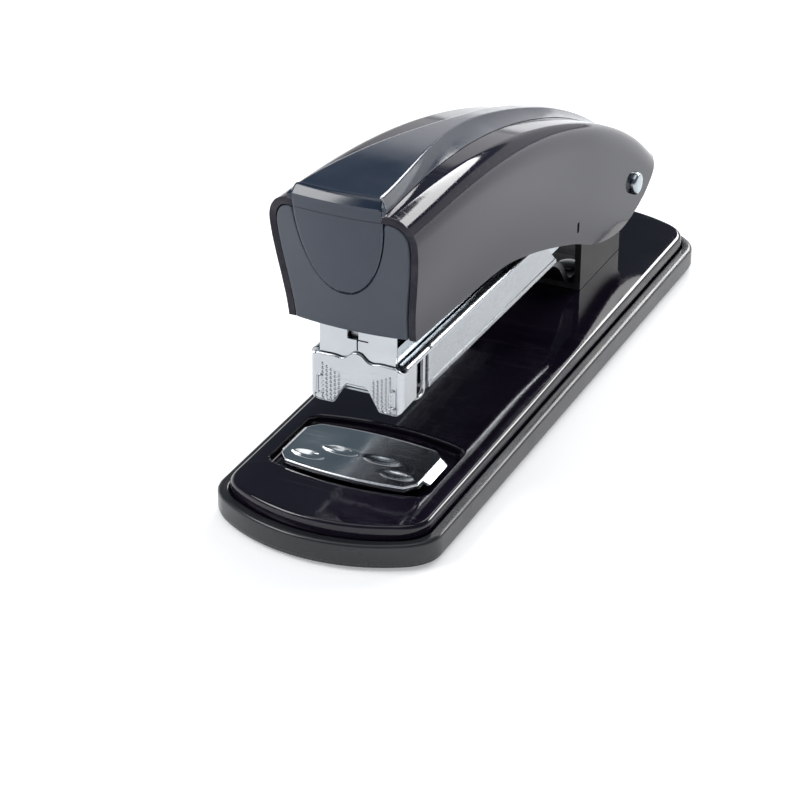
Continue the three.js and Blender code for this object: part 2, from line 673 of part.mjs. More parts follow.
// A closed solid through outlines that stand one behind the other, each a list of [x, z] points.
function loft(stations, outlineAt) {
  const loops = stations.map((y) => outlineAt(y).map(([x, z]) => new THREE.Vector3(x, y, z)));
  const count = loops[0].length;
  const index = [];
  for (let s = 0; s < loops.length - 1; s += 1) {
    for (let i = 0; i < count; i += 1) {
      const next = (i + 1) % count;
      const [a, b] = [s * count + i, s * count + next];
      index.push(a, a + count, b, b, a + count, b + count);
    }
  }
  const lastStart = (loops.length - 1) * count;
  const flat = (loop) => loop.map((point) => new THREE.Vector2(point.x, point.z));
  THREE.ShapeUtils.triangulateShape(flat(loops[0]), []).forEach(([a, b, c]) => index.push(a, b, c));
  THREE.ShapeUtils.triangulateShape(flat(loops[loops.length - 1]), []).forEach(([a, b, c]) => {
    index.push(lastStart + a, lastStart + c, lastStart + b);
  });
  const geometry = new THREE.BufferGeometry().setFromPoints(loops.flat());
  geometry.setIndex(index);
  return solid(geometry);
}

function evenSteps(from, to, count) {
  return Array.from({ length: count + 1 }, (unused, step) => THREE.MathUtils.lerp(from, to, step / count));
}

// Right half of the handle's cross-section at y, from below up to the roof edge.
function handleHalfSection(y, inset) {
  const slim = THREE.MathUtils.smoothstep(y, HANDLE_FRONT, 30);
  const foot = THREE.MathUtils.lerp(14.1, 13.5, slim) - inset;
  const belly = THREE.MathUtils.lerp(16, 13.7, slim) - inset;
  const roof = roofHeight(y) - inset;
  const shoulder = belly - ROOF_HALF_WIDTH + inset * 0.6;
  const corner = evenSteps(0, Math.PI / 2, 3).map((angle) => [
    belly - shoulder * (1 - Math.cos(angle)),
    roof - 6.5 + 6.5 * Math.sin(angle),
  ]);
  const waist = THREE.MathUtils.lerp(foot, belly, 0.55);
  const flank = [[foot, roof - 60], [foot, roof - 28], [waist, roof - 19], [belly - 0.3, roof - 12]];
  return [...flank, ...corner];
}

function mirrored(halfSection) {
  const left = halfSection.map(([x, z]) => [-x, z]).reverse();
  return [...halfSection, ...left];
}

// The full body of the handle, shrunk by inset, running on below its lower edge.
const HANDLE_STATIONS = evenSteps(HANDLE_FRONT - 2, HANDLE_REAR, 18);

function handleLog(inset) {
  return loft(HANDLE_STATIONS, (y) => mirrored(handleHalfSection(y, inset)));
}

const FRONT_RADIUS = 68;
const FRONT_FOOT = [-62.8, 41.8];
const FRONT_LEAN = THREE.MathUtils.degToRad(10.4);

// The front of the handle is bowed and leans forward: a leaning drum, grown by a distance, trims it.
function frontDrum(grow) {
  const radius = FRONT_RADIUS + grow;
  const drum = new THREE.CylinderGeometry(radius, radius, 160, 120).rotateX(Math.PI / 2 + FRONT_LEAN);
  const [y, z] = FRONT_FOOT;
  return solid(drum.translate(0, y + FRONT_RADIUS / Math.cos(FRONT_LEAN), z));
}

// The side view of the handle, cut along its lower edge and its rear.
function handleSide() {
  const edge = splineThrough(HANDLE_EDGE).getPoints(24);
  const outline = edge.map((point) => [point.x, point.y]);
  return polygon([[-80, 42.9], ...outline, [78.2, 29], [77.5, 90], [-80, 90]]);
}

function handleShell() {
  const wall = cut(handleLog(0), handleLog(HANDLE_WALL)).intersect(alongX(handleSide(), -30, 30));
  const pinHole = cylinderX(PIN_HOLE_RADIUS, -30, 30, PIN_Y, PIN_Z, 48);
  const sideSlot = box(-30, 30, 25.2, 26.4, 27.9, 30.4);
  return cut(wall.intersect(frontDrum(0)), pinHole, sideSlot, tongueRecess());
}

const TONGUE_TOP = 74.5;
const TONGUE_BOTTOM = 50.6;

// The outline of the tongue in the front view, grown all round by clearance.
function tongueOutline(clearance) {
  const half = 9.7 + clearance;
  const bottom = TONGUE_BOTTOM - clearance;
  const shape = new THREE.Shape();
  shape.moveTo(half, TONGUE_TOP);
  shape.lineTo(-half, TONGUE_TOP);
  shape.lineTo(-half, 69);
  shape.bezierCurveTo(-half, 61, -6.5, bottom, 0, bottom);
  shape.bezierCurveTo(6.5, bottom, half, 61, half, 69);
  return shape;
}

// A slab that follows the leaning front, from ahead of it to behind it.
function frontSlab(ahead, behind) {
  return cut(frontDrum(ahead), frontDrum(-behind)).intersect(box(-30, 30, -90, 0, 0, 90));
}

// The room that the cap and the roof's front edge leave for the tongue.
function tongueRecess() {
  return alongY(tongueOutline(0.2), -80, 0).intersect(frontSlab(3, 1.1));
}

function frontCap() {
  const opening = handleLog(HANDLE_WALL + GAP).intersect(frontSlab(0.1, 2.1));
  const below = box(-30, 30, -80, 0, 0, 41.4);
  return cut(opening, below, tongueRecess());
}

const INLAY_HALF_FRONT = 9.8;
const INLAY_HALF_REAR = 4.2;
const CREST_HALF_FRONT = 9.2;
const CREST_HALF_REAR = 1.9;

// The foot of the inlay is almost as wide as the roof at the front, and draws in to the rear.
function inlayHalfWidth(y) {
  const left = 1 - alongHandle(y, HANDLE_FRONT + 4, HANDLE_FRONT + 114);
  const tapered = THREE.MathUtils.lerp(INLAY_HALF_REAR, INLAY_HALF_FRONT + 0.2, left ** 1.6);
  return Math.min(INLAY_HALF_FRONT, tapered);
}

// The crest of the inlay draws in sooner, to a ridge.
function crestHalfWidth(y) {
  const drawnIn = THREE.MathUtils.smoothstep(y, HANDLE_FRONT - 2, HANDLE_FRONT + 66);
  return THREE.MathUtils.lerp(CREST_HALF_FRONT, CREST_HALF_REAR, drawnIn);
}

// Right half of the inlay's cross-section: a hollow flank from the groove up to the crest.
function inlayHalfSection(y) {
  const inlayHalf = inlayHalfWidth(y);
  const crestHalf = crestHalfWidth(y);
  const bottom = roofHeight(y) + 0.12;
  const top = crestHeight(y);
  const edge = top - 0.15 * (top - bottom);
  const bendX = THREE.MathUtils.lerp(crestHalf, inlayHalf, 0.4);
  const bendZ = THREE.MathUtils.lerp(bottom, top, 0.2);
  const flank = new THREE.QuadraticBezierCurve(
    new THREE.Vector2(inlayHalf, bottom),
    new THREE.Vector2(bendX, bendZ),
    new THREE.Vector2(crestHalf, edge),
  );
  const hollow = flank.getPoints(3).map((point) => [point.x, point.y]);
  return [...hollow, [crestHalf - 0.7, top - 0.1], [crestHalf * 0.5, top]];
}

// The long inlay on the roof, with a tongue that hangs over the front of the cap.
function topInlay() {
  const stations = HANDLE_STATIONS.filter((y) => y < 70);
  const inlay = loft(stations, (y) => mirrored(inlayHalfSection(y)));
  const bevel = polygon([[-72, 71.3], [-68.6, 71.6], [-66.9, 73.6], [-66.9, 80], [-72, 80]]);
  const overRoof = box(-30, 30, -80, 0, 71.2, 90);
  const tongue = cut(alongY(tongueOutline(0), -80, -50), frontDrum(-0.9), overRoof);
  return cut(join(inlay, tongue).intersect(frontDrum(0.3)), alongX(bevel, -30, 30));
}

// ---------------------------------------------------------------- driver, drawn at the end of its stroke

const BLADE_FRONT = -118.9;
const BLADE_THICKNESS = 0.6;
const BLADE_TOP = 27;
const RIVET_HEIGHT = 21;
const RIVET_X = 3.6;
const RIVET_HOLE_RADIUS = 1.05;

// The two holes through the blade and its bracket.
function driverRivetHoles() {
  return [-RIVET_X, RIVET_X].map((x) => cylinderY(RIVET_HOLE_RADIUS, -130, -100, x, RIVET_HEIGHT));
}

function driverBlade() {
  const half = STAPLE_WIDTH / 2;
  const blade = box(-half, half, BLADE_FRONT, BLADE_FRONT + BLADE_THICKNESS, -6, BLADE_TOP);
  return cut(blade, ...driverRivetHoles());
}

// A folded bracket: an upright that backs the blade and a flange under the roof.
function driverBracket() {
  const front = BLADE_FRONT + BLADE_THICKNESS + 0.1;
  const angle = polygon([
    [front, 14],
    [front + 1.2, 14],
    [front + 1.2, 28],
    [front + 2.2, 29.2],
    [-101, 29.2],
    [-101, 30.4],
    [front, 30.4],
  ]);
  const bent = alongX(angle, -7.6, 7.6);
  return cut(bent, ...driverRivetHoles());
}

function driverRivet(x) {
  const rear = BLADE_FRONT + BLADE_THICKNESS + 1.3;
  return join(
    cylinderY(1, BLADE_FRONT - 0.4, rear + 0.5, x, RIVET_HEIGHT),
    cylinderY(1.8, BLADE_FRONT - 0.45, BLADE_FRONT - 0.03, x, RIVET_HEIGHT),
    cylinderY(1.8, rear + 0.03, rear + 0.6, x, RIVET_HEIGHT),
  );
}

// The cup under the roof that the handle spring pushes on, with a spigot inside the coil.
function springCup() {
  const y = PIN_Y + HANDLE_SPRING_U + 0.4;
  const cup = cylinderZ(5.2, 42.1, 60, 0, y);
  const spigot = cylinderZ(2.9, 38.6, 43, 0, y);
  return join(cup, spigot).intersect(handleLog(HANDLE_WALL + GAP));
}

// ---------------------------------------------------------------- everything in its place

add(part, 'base_plate', basePlate(), STEEL_BLACK);
add(part, 'base_tray', baseTray(), PLASTIC_BLACK);
for (const [side, sideName] of [[-1, 'left'], [1, 'right']]) {
  for (const [end, endName] of [[-1, 'front'], [1, 'rear']]) {
    add(part, `foot_${endName}_${sideName}`, foot(side * 17, end * 60), RUBBER_BLACK);
  }
}
add(part, 'rear_bracket', rearBracket(), STEEL_BLACK);
BRACKET_RIVETS.forEach(([x, y], index) => {
  const leaf = index < 2 ? LEAF_THICKNESS + 0.05 : 0;
  const clamped = rivet(x, y, BASE_TOP - SHEET, BRACKET_FLOOR + BRACKET_SHEET + leaf);
  add(part, `bracket_rivet_${index + 1}`, clamped, SPRING_STEEL);
});
add(part, 'pivot_pin', pivotPin(), CHROME);
add(part, 'lift_spring', liftSpring(), STEEL_BLACK);

add(part, 'anvil_plate', anvilPlate(), CHROME);
add(part, 'anvil_stud', anvilStud(), SPRING_STEEL);
add(part, 'anvil_spring', anvilSpring(), SPRING_STEEL);

add(magazine, 'magazine_channel', magazineChannel(), ZINC);
add(magazine, 'magazine_core', magazineCore(), CHROME);
add(magazine, 'front_plate', frontPlate(), CHROME);
add(magazine, 'nose_piece', nosePiece(), CHROME);
add(magazine, 'nose_wire', noseWire(), SPRING_STEEL);
add(magazine, 'staple_rail', stapleRail(), SPRING_STEEL);
add(magazine, 'guide_rod', guideRod(), SPRING_STEEL);
add(magazine, 'staple_strip', stapleStrip(), CHROME);
add(magazine, 'handle_spring', handleSpring(), SPRING_STEEL);
add(magazine, 'pusher', pusher(), PLASTIC_BLACK);
add(magazine, 'pusher_spring', pusherSpring(), SPRING_STEEL);

add(part, 'handle_shell', handleShell(), HANDLE_BLACK);
add(part, 'front_cap', frontCap(), PLASTIC_DARK);
add(part, 'top_inlay', topInlay(), HANDLE_BLACK);
add(part, 'spring_cup', springCup(), PLASTIC_BLACK);
add(driverStroke, 'driver_blade', driverBlade(), SPRING_STEEL);
add(driverStroke, 'driver_bracket', driverBracket(), SPRING_STEEL);
add(driverStroke, 'driver_rivet_left', driverRivet(-3.6), SPRING_STEEL);
add(driverStroke, 'driver_rivet_right', driverRivet(3.6), SPRING_STEEL);

export default part;
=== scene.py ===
import json
import math
from contextlib import contextmanager

import bmesh
import bpy
import numpy as np
from mathutils import Matrix, Vector


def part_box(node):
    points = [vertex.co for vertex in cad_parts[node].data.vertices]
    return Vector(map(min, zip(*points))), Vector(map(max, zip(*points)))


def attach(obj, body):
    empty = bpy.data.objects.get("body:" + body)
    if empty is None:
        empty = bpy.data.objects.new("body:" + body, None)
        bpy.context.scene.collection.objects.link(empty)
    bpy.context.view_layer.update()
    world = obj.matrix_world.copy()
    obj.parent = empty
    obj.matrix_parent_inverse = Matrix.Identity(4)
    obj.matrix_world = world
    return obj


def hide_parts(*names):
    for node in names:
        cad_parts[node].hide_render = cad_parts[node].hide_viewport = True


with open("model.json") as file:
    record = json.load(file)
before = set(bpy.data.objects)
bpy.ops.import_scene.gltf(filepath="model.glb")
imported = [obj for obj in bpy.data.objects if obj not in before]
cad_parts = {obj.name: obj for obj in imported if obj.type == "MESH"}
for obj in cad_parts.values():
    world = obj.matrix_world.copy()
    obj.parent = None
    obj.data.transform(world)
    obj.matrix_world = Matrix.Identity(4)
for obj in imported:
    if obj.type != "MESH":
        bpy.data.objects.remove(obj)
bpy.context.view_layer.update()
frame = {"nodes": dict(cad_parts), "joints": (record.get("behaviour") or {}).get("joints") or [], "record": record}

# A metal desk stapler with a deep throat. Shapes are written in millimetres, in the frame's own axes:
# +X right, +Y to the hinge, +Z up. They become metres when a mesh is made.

MM = 0.001


def cad(node):
    """Lowest and highest corner of a CAD node, in millimetres."""
    low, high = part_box(node)
    return np.array(low) / MM, np.array(high) / MM


def joint(name):
    """A joint's row in the frame."""
    return next(j for j in frame["joints"] if j["name"] == name)


# ------------ driving sizes

PIN_LOW, PIN_HIGH = cad("pivot_pin")
PIN_Y, PIN_Z = (PIN_LOW[1:] + PIN_HIGH[1:]) / 2
PIN_RADIUS = 2.2

SLIDE_AXIS = np.array(joint("pusher_slide")["axis"])
BASE_LOW, BASE_HIGH = cad("base_tray")
PLATE_HIGH = cad("base_plate")[1]
BASE_TOP = PLATE_HIGH[2]
SHEET = 1.2

ANVIL_LOW, ANVIL_HIGH = cad("anvil_plate")
ANVIL_Y = (ANVIL_LOW[1] + ANVIL_HIGH[1]) / 2
ANVIL_TOP = ANVIL_HIGH[2]
ANVIL_SLIDE = joint("anvil_slide")["range_m"][1] / MM

# ------------ numbers and curves


def lerp(a, b, t):
    return a + (b - a) * t


def smoothstep(value, low, high):
    t = np.clip((value - low) / (high - low), 0, 1)
    return t * t * (3 - 2 * t)


def smooth_line(points, steps=24):
    """A Catmull-Rom curve through the points, as many points."""
    pts = np.array(points, float)
    padded = np.vstack([pts[0], pts, pts[-1]])
    t = np.linspace(0, 1, steps, endpoint=False)[:, None]
    runs = []
    for k in range(len(pts) - 1):
        a, b, c, d = padded[k : k + 4]
        pull_b = (c - a) / 2
        pull_c = (d - b) / 2
        cubic = (2 * b - 2 * c + pull_b + pull_c) * t**3
        square = (-3 * b + 3 * c - 2 * pull_b - pull_c) * t**2
        runs.append(cubic + square + pull_b * t + b)
    return np.vstack([*runs, pts[-1]])


def pulled(a, b, c, t):
    """A place on the curve from a to c that b pulls on."""
    return a * (1 - t) ** 2 + 2 * b * t * (1 - t) + c * t * t


def bezier(a, b, c, d, steps):
    t = np.linspace(0, 1, steps + 1)[:, None]
    a, b, c, d = (np.array(p, float) for p in (a, b, c, d))
    return a * (1 - t) ** 3 + 3 * b * t * (1 - t) ** 2 + 3 * c * t * t * (1 - t) + d * t**3


def arc(x, y, radius, start, end, steps):
    """Points on an arc, with angles in degrees."""
    angle = np.radians(np.linspace(start, end, steps + 1))
    return np.stack([x + radius * np.cos(angle), y + radius * np.sin(angle)], 1)


def rectangle(x_low, y_low, x_high, y_high):
    return [[x_low, y_low], [x_high, y_low], [x_high, y_high], [x_low, y_high]]


def rounded(points, radius, steps=5):
    """A closed outline with its corners rounded."""
    pts = np.array(points, float)
    out = []
    for k in range(len(pts)):
        before, here, after = pts[k - 1], pts[k], pts[(k + 1) % len(pts)]
        to_before = (before - here) / np.linalg.norm(before - here)
        to_after = (after - here) / np.linalg.norm(after - here)
        start, end = here + to_before * radius, here + to_after * radius
        out += [pulled(start, here, end, t) for t in np.linspace(0, 1, steps + 1)]
    return np.array(out)


def gathered(low, high, close, start, count):
    """Evenly spaced numbers that begin at start from each end, and a few more close to the ends."""
    close = np.array(close)
    return np.concatenate([low + close, np.linspace(low + start, high - start, count), high - close[::-1]])


def quarter(steps):
    """The shares across and up of places on a quarter circle that begins upright."""
    for angle in np.radians(np.linspace(0, 90, steps)):
        yield 1 - math.cos(angle), math.sin(angle)


def edge_drop(near, radius):
    """How far a rounded edge has dropped at a distance from the rim, as a share of its radius."""
    return 1 - np.sqrt(np.clip(1 - (1 - np.clip(near / radius, 0, 1)) ** 2, 0, 1))


# The magazine is described in its own directions: x to the right, u along it from the pin (the front is
# negative) and w up from the pin.
MAGAZINE_U = SLIDE_AXIS
MAGAZINE_W = np.array([0, -SLIDE_AXIS[2], SLIDE_AXIS[1]])


def in_magazine(points):
    """Points given as x, u, w, in the frame's axes."""
    points = np.asarray(points, float)
    x, u, w = points[..., 0:1], points[..., 1:2], points[..., 2:3]
    pin = np.array([0, PIN_Y, PIN_Z])
    return pin + x * np.array([1, 0, 0]) + u * MAGAZINE_U + w * MAGAZINE_W


# ------------ meshes


def make_object(name, points, faces):
    """A mesh object from points in millimetres."""
    mesh = bpy.data.meshes.new(name)
    mesh.from_pydata([tuple(p) for p in np.asarray(points, float) * MM], [], faces)
    mesh.validate()
    made = bpy.data.objects.new(name, mesh)
    bpy.context.scene.collection.objects.link(made)
    return made


def grid_faces(rows, columns, start=0, wrap=False, flip=False):
    """Quads over rows of points."""
    faces = []
    for r in range(rows - 1):
        for c in range(columns if wrap else columns - 1):
            after = (c + 1) % columns
            here = start + r * columns
            quad = [here + c, here + after, here + columns + after, here + columns + c]
            faces.append(quad[::-1] if flip else quad)
    return faces


def tube(name, loops):
    """A closed solid through closed loops of points, with a flat face at each end."""
    loops = np.asarray(loops, float)
    rows, columns = loops.shape[:2]
    faces = grid_faces(rows, columns, wrap=True)
    faces.append(list(range(columns))[::-1])
    faces.append([(rows - 1) * columns + k for k in range(columns)])
    made = make_object(name, loops.reshape(-1, 3), faces)
    return face_outward(weld(made))


def thick_sheet(name, grid, thickness):
    """A closed solid whose outer face is the grid and whose wall goes in by the thickness."""
    grid = np.asarray(grid, float)
    across = np.gradient(grid, axis=1)
    along = np.gradient(grid, axis=0)
    normal = np.cross(across, along)
    normal /= np.maximum(np.linalg.norm(normal, axis=2, keepdims=True), 1e-9)
    return closed_between(name, grid, grid - normal * thickness)


def closed_between(name, grid, inner):
    """A closed solid between two grids of the same size, one behind the other."""
    grid = np.asarray(grid, float)
    inner = np.asarray(inner, float)
    rows, columns = grid.shape[:2]
    count = rows * columns
    faces = grid_faces(rows, columns) + grid_faces(rows, columns, start=count, flip=True)
    index = np.arange(count).reshape(rows, columns)
    ring = np.concatenate([index[0], index[1:, -1], index[-1, -2::-1], index[-2:0:-1, 0]]).tolist()
    for k, a in enumerate(ring):
        b = ring[(k + 1) % len(ring)]
        faces.append([b, a, a + count, b + count])
    made = make_object(name, np.vstack([grid.reshape(-1, 3), inner.reshape(-1, 3)]), faces)
    return face_outward(made)


def prism(name, outline, low, high, axis):
    """An outline pushed from low to high along x or z; the outline is in the other two, in order."""
    order = {"x": (2, 0, 1), "z": (0, 1, 2)}[axis]
    outline = np.asarray(outline, float)
    loops = []
    for place in (low, high):
        flat = np.column_stack([outline, np.full(len(outline), place)])
        loops.append(flat[:, order])
    return tube(name, loops)


def turned(name, profile, sides=64):
    """A solid turned about its axis, from [radius, height] points that start and end on the axis."""
    around = [2 * math.pi * k / sides for k in range(sides)]
    points = [(0.0, 0.0, profile[0][1])]
    for radius, height in profile[1:-1]:
        points += [(radius * math.cos(angle), radius * math.sin(angle), height) for angle in around]
    points.append((0.0, 0.0, profile[-1][1]))
    rings = len(profile) - 2
    faces = grid_faces(rings, sides, start=1, wrap=True)
    last = len(points) - 1
    for k in range(sides):
        after = (k + 1) % sides
        faces.append([0, 1 + after, 1 + k])
        faces.append([last, 1 + (rings - 1) * sides + k, 1 + (rings - 1) * sides + after])
    return face_outward(make_object(name, points, faces))


def put(made, x, y, z):
    """Moves a new mesh by millimetres."""
    made.data.transform(Matrix.Translation(Vector((x, y, z)) * MM))
    return made


def put_on_hinge(made):
    """Turns a solid that was turned about Z on to the hinge line, which runs along X."""
    made.data.transform(Matrix.Rotation(math.pi / 2, 4, "Y"))
    return put(made, 0, PIN_Y, PIN_Z)


@contextmanager
def reworked(made):
    """Opens an object's mesh for editing and writes it back."""
    work = bmesh.new()
    work.from_mesh(made.data)
    yield work
    work.to_mesh(made.data)
    work.free()


def face_outward(made):
    with reworked(made) as work:
        bmesh.ops.recalc_face_normals(work, faces=work.faces)
    return made


def weld(made):
    """Joins the points that coincide, and drops the faces that this leaves without an area."""
    reach = 0.002 * MM
    with reworked(made) as work:
        bmesh.ops.remove_doubles(work, verts=work.verts, dist=reach)
        bmesh.ops.dissolve_degenerate(work, edges=work.edges, dist=reach)
    return made


def apply_modifiers(made):
    """The mesh as its modifiers leave it."""
    bpy.context.view_layer.update()
    graph = bpy.context.evaluated_depsgraph_get()
    result = bpy.data.meshes.new_from_object(made.evaluated_get(graph))
    old = made.data
    made.modifiers.clear()
    made.data = result
    bpy.data.meshes.remove(old)
    return made


def combine(made, operation, *others):
    """The object joined with, or cut by, the others, which are used up."""
    for other in others:
        step = made.modifiers.new(operation, "BOOLEAN")
        step.operation = operation
        step.solver = "EXACT"
        step.object = other
    apply_modifiers(made)
    for other in others:
        bpy.data.objects.remove(other)
    return made


def cut(made, *others):
    return combine(made, "DIFFERENCE", *others)


def join(made, *others):
    return combine(made, "UNION", *others)


def merge(name, pieces):
    """Several closed meshes as one object."""
    points, faces = [], []
    for piece in pieces:
        start = len(points)
        points += [tuple(v.co / MM) for v in piece.data.vertices]
        faces += [[start + k for k in polygon.vertices] for polygon in piece.data.polygons]
        bpy.data.objects.remove(piece)
    return make_object(name, points, faces)


def bevel(made, width, segments, angle):
    """A modifier that rounds the edges sharper than an angle in degrees."""
    edge = made.modifiers.new("soft_edges", "BEVEL")
    edge.width = width * MM
    edge.segments = segments
    edge.limit_method = "ANGLE"
    edge.angle_limit = math.radians(angle)
    return edge


def soften(made, width, segments, angle):
    """Rounded edges and smooth shading."""
    bevel(made, width, segments, angle).miter_outer = "MITER_ARC"
    return shade(apply_modifiers(made))


def shade(made, angle=42):
    """Smooth shading, except over edges sharper than an angle in degrees."""
    made.data.polygons.foreach_set("use_smooth", [True] * len(made.data.polygons))
    made.data.set_sharp_from_angle(angle=math.radians(angle))
    weighted = made.modifiers.new("even_normals", "WEIGHTED_NORMAL")
    weighted.keep_sharp = True
    return made


def wire(name, points, radius, sides):
    """A round wire along points, as a mesh with its two ends chamfered."""
    points = np.asarray(points, float)
    direction = np.gradient(points, axis=0)
    direction /= np.linalg.norm(direction, axis=1, keepdims=True)
    angle = np.linspace(0, 2 * math.pi, sides, endpoint=False)[:, None]
    slanting = [0.31, 0.17, 0.93]
    side = np.cross(direction[0], slanting)
    loops = []
    for place, forward in zip(points, direction):
        side = side - forward * (side @ forward)
        side /= np.linalg.norm(side)
        up = np.cross(forward, side)
        loops.append(place + radius * (np.cos(angle) * side + np.sin(angle) * up))
    end, chamfer = 0.65, 0.35 * radius
    first = points[0] + (loops[0] - points[0]) * end - direction[0] * chamfer
    last = points[-1] + (loops[-1] - points[-1]) * end + direction[-1] * chamfer
    return shade(tube(name, [first, *loops, last]), 60)


def helix(radius, start, end, turns, per_turn):
    """A coil's centre line as [across, up, along], with its end turns closed up."""
    turn = np.linspace(0, turns, int(turns * per_turn) + 1)
    climb = np.cumsum(np.clip(np.minimum(turn, turns - turn), 0.25, 1))
    along = start + (end - start) * (climb - climb[0]) / (climb[-1] - climb[0])
    angle = 2 * math.pi * turn
    return np.stack([radius * np.cos(angle), radius * np.sin(angle), along], 1)


# ------------ finishes


# The colour sockets of a Mix node, by number, as its sockets for other data share their names.
MIX_A, MIX_B, MIX_RESULT = 6, 7, 2


class Finish:
    """A node material built round one principled shader."""

    def __init__(self, name, colour, roughness, metallic=0.0, **sockets):
        self.material = bpy.data.materials.new(name)
        self.material.use_nodes = True
        self.nodes = self.material.node_tree.nodes
        self.links = self.material.node_tree.links
        self.shader = self.nodes["Principled BSDF"]
        self.shader.inputs["Metallic"].default_value = metallic
        for socket, value in sockets.items():
            self.shader.inputs[socket.replace("_", " ")].default_value = value
        self.place = self.nodes.new("ShaderNodeTexCoord").outputs["Object"]
        self.colour = (*colour, 1)
        self.roughness = roughness
        self.bump = None

    def feed(self, socket, value):
        """Links an output to a socket, or sets the socket to a plain value."""
        if isinstance(value, bpy.types.NodeSocket):
            self.links.new(value, socket)
        else:
            socket.default_value = value

    def node(self, kind, **inputs):
        made = self.nodes.new("ShaderNode" + kind)
        for socket, value in inputs.items():
            self.feed(made.inputs[socket.replace("_", " ")], value)
        return made

    def stretched(self, scale, turn=(0, 0, 0)):
        return self.node("Mapping", Vector=self.place, Scale=scale, Rotation=turn).outputs[0]

    def noise(self, scale, detail=3.0, place=None, rough=0.55):
        place = place or self.place
        made = self.node("TexNoise", Vector=place, Scale=scale, Detail=detail, Roughness=rough)
        return made.outputs["Fac"]

    def between(self, value, low, high, to_low=0.0, to_high=1.0):
        ends = {"From Min": low, "From Max": high, "To Min": to_low, "To Max": to_high}
        made = self.node("MapRange", Value=value, **ends)
        return made.outputs["Result"]

    def maths(self, operation, a, b):
        made = self.nodes.new("ShaderNodeMath")
        made.operation = operation
        self.feed(made.inputs[0], a)
        self.feed(made.inputs[1], b)
        return made.outputs[0]

    def tint(self, share, colour):
        """Takes the colour towards another one by a share that differs from place to place."""
        made = self.nodes.new("ShaderNodeMix")
        made.data_type = "RGBA"
        self.feed(made.inputs["Factor"], share)
        self.feed(made.inputs[MIX_A], self.colour)
        self.feed(made.inputs[MIX_B], (*colour, 1))
        self.colour = made.outputs[MIX_RESULT]

    def rougher(self, amount):
        """Adds to the roughness, by an amount that differs from place to place."""
        self.roughness = self.maths("ADD", amount, self.roughness)

    def relief(self, height, depth):
        """Raises the surface by a height from 0 to 1 times the depth, in millimetres."""
        made = self.node("Bump", Height=height, Distance=depth * MM, Strength=1.0)
        if self.bump:
            self.feed(made.inputs["Normal"], self.bump)
        self.bump = made.outputs[0]

    def worn_edges(self, colour, amount):
        """The colour that shows where handling has rubbed the sharpest edges."""
        sharp = self.nodes.new("ShaderNodeNewGeometry").outputs["Pointiness"]
        patches = self.between(self.noise(260), 0.42, 0.62)
        self.tint(self.maths("MULTIPLY", self.between(sharp, 0.53, 0.6, 0, amount), patches), colour)

    def scratches(self, amount, colour, turn, scale):
        """Fine straight hairlines, in one direction."""
        lines = self.noise(scale, 2, self.stretched((1, 26, 26), turn), 0.4)
        self.tint(self.between(lines, 0.66, 0.72, 0, amount), colour)
        self.rougher(self.between(lines, 0.6, 0.75, 0, 0.08))

    def done(self):
        self.feed(self.shader.inputs["Base Color"], self.colour)
        self.feed(self.shader.inputs["Roughness"], self.roughness)
        if self.bump:
            self.feed(self.shader.inputs["Normal"], self.bump)
        return self.material


def lacquer(name, colour, tone, roughness, peel=0.008, gloss=1.5):
    """Glossy stoved enamel over steel: a little orange peel, dust, hairlines and rubbed edges."""
    made = Finish(name, colour, roughness, IOR=gloss)
    made.tint(made.between(made.noise(45, 4), 0.35, 0.7, 0, 0.8), tone)
    made.scratches(0.2, [3 * c + 0.02 for c in tone], (0, 0, 0.7), 40)
    made.worn_edges((0.05, 0.048, 0.056), 0.4)
    made.rougher(made.between(made.noise(28, 5), 0.4, 0.75, -0.01, 0.035))
    made.relief(made.noise(520, 2), peel)
    made.relief(made.noise(2600, 2), 0.0022)
    return made.done()


def moulded(name, colour, tone, roughness, grain=0.035, scale=2200, sheen=0.3):
    """Moulded plastic with a fine even grain, faint clouding and shiny rubbed edges."""
    made = Finish(name, colour, roughness, IOR=1.47, Specular_IOR_Level=sheen)
    made.tint(made.between(made.noise(60, 5), 0.3, 0.7), tone)
    made.worn_edges([1.5 * c + 0.015 for c in tone], 0.4)
    made.rougher(made.between(made.noise(90, 4), 0.35, 0.7, -0.05, 0.05))
    made.relief(made.noise(scale, 3), grain)
    return made.done()


def bright_metal(name, colour, tone, roughness, haze, brushed=0.0, pits=0.0):
    """Plated or bare metal: a hazy film in patches, hairlines, and a brushed grain or small pits."""
    made = Finish(name, colour, roughness, 1.0)
    made.tint(made.between(made.noise(55, 5), 0.38, 0.72), tone)
    made.scratches(0.25, [0.8 * c for c in tone], (0.2, 0.1, 1.1), 70)
    made.rougher(made.between(made.noise(75, 5), 0.35, 0.75, -haze / 3, haze))
    if brushed:
        grain = made.noise(420, 3, made.stretched((1, 0.03, 1)))
        made.relief(grain, brushed)
        made.rougher(made.between(grain, 0.35, 0.7, 0, 0.08))
    if pits:
        made.relief(made.noise(1300, 4), pits)
    made.worn_edges([min(1, 1.15 * c) for c in colour], 0.5)
    return made.done()


def rubber(name, colour, tone, roughness):
    """Matte rubber with a coarse grain."""
    made = Finish(name, colour, roughness, IOR=1.5, Specular_IOR_Level=0.25)
    made.tint(made.between(made.noise(150, 5), 0.3, 0.7), tone)
    made.rougher(made.between(made.noise(500, 3), 0.3, 0.7, -0.08, 0.08))
    made.relief(made.noise(1600, 4), 0.06)
    return made.done()


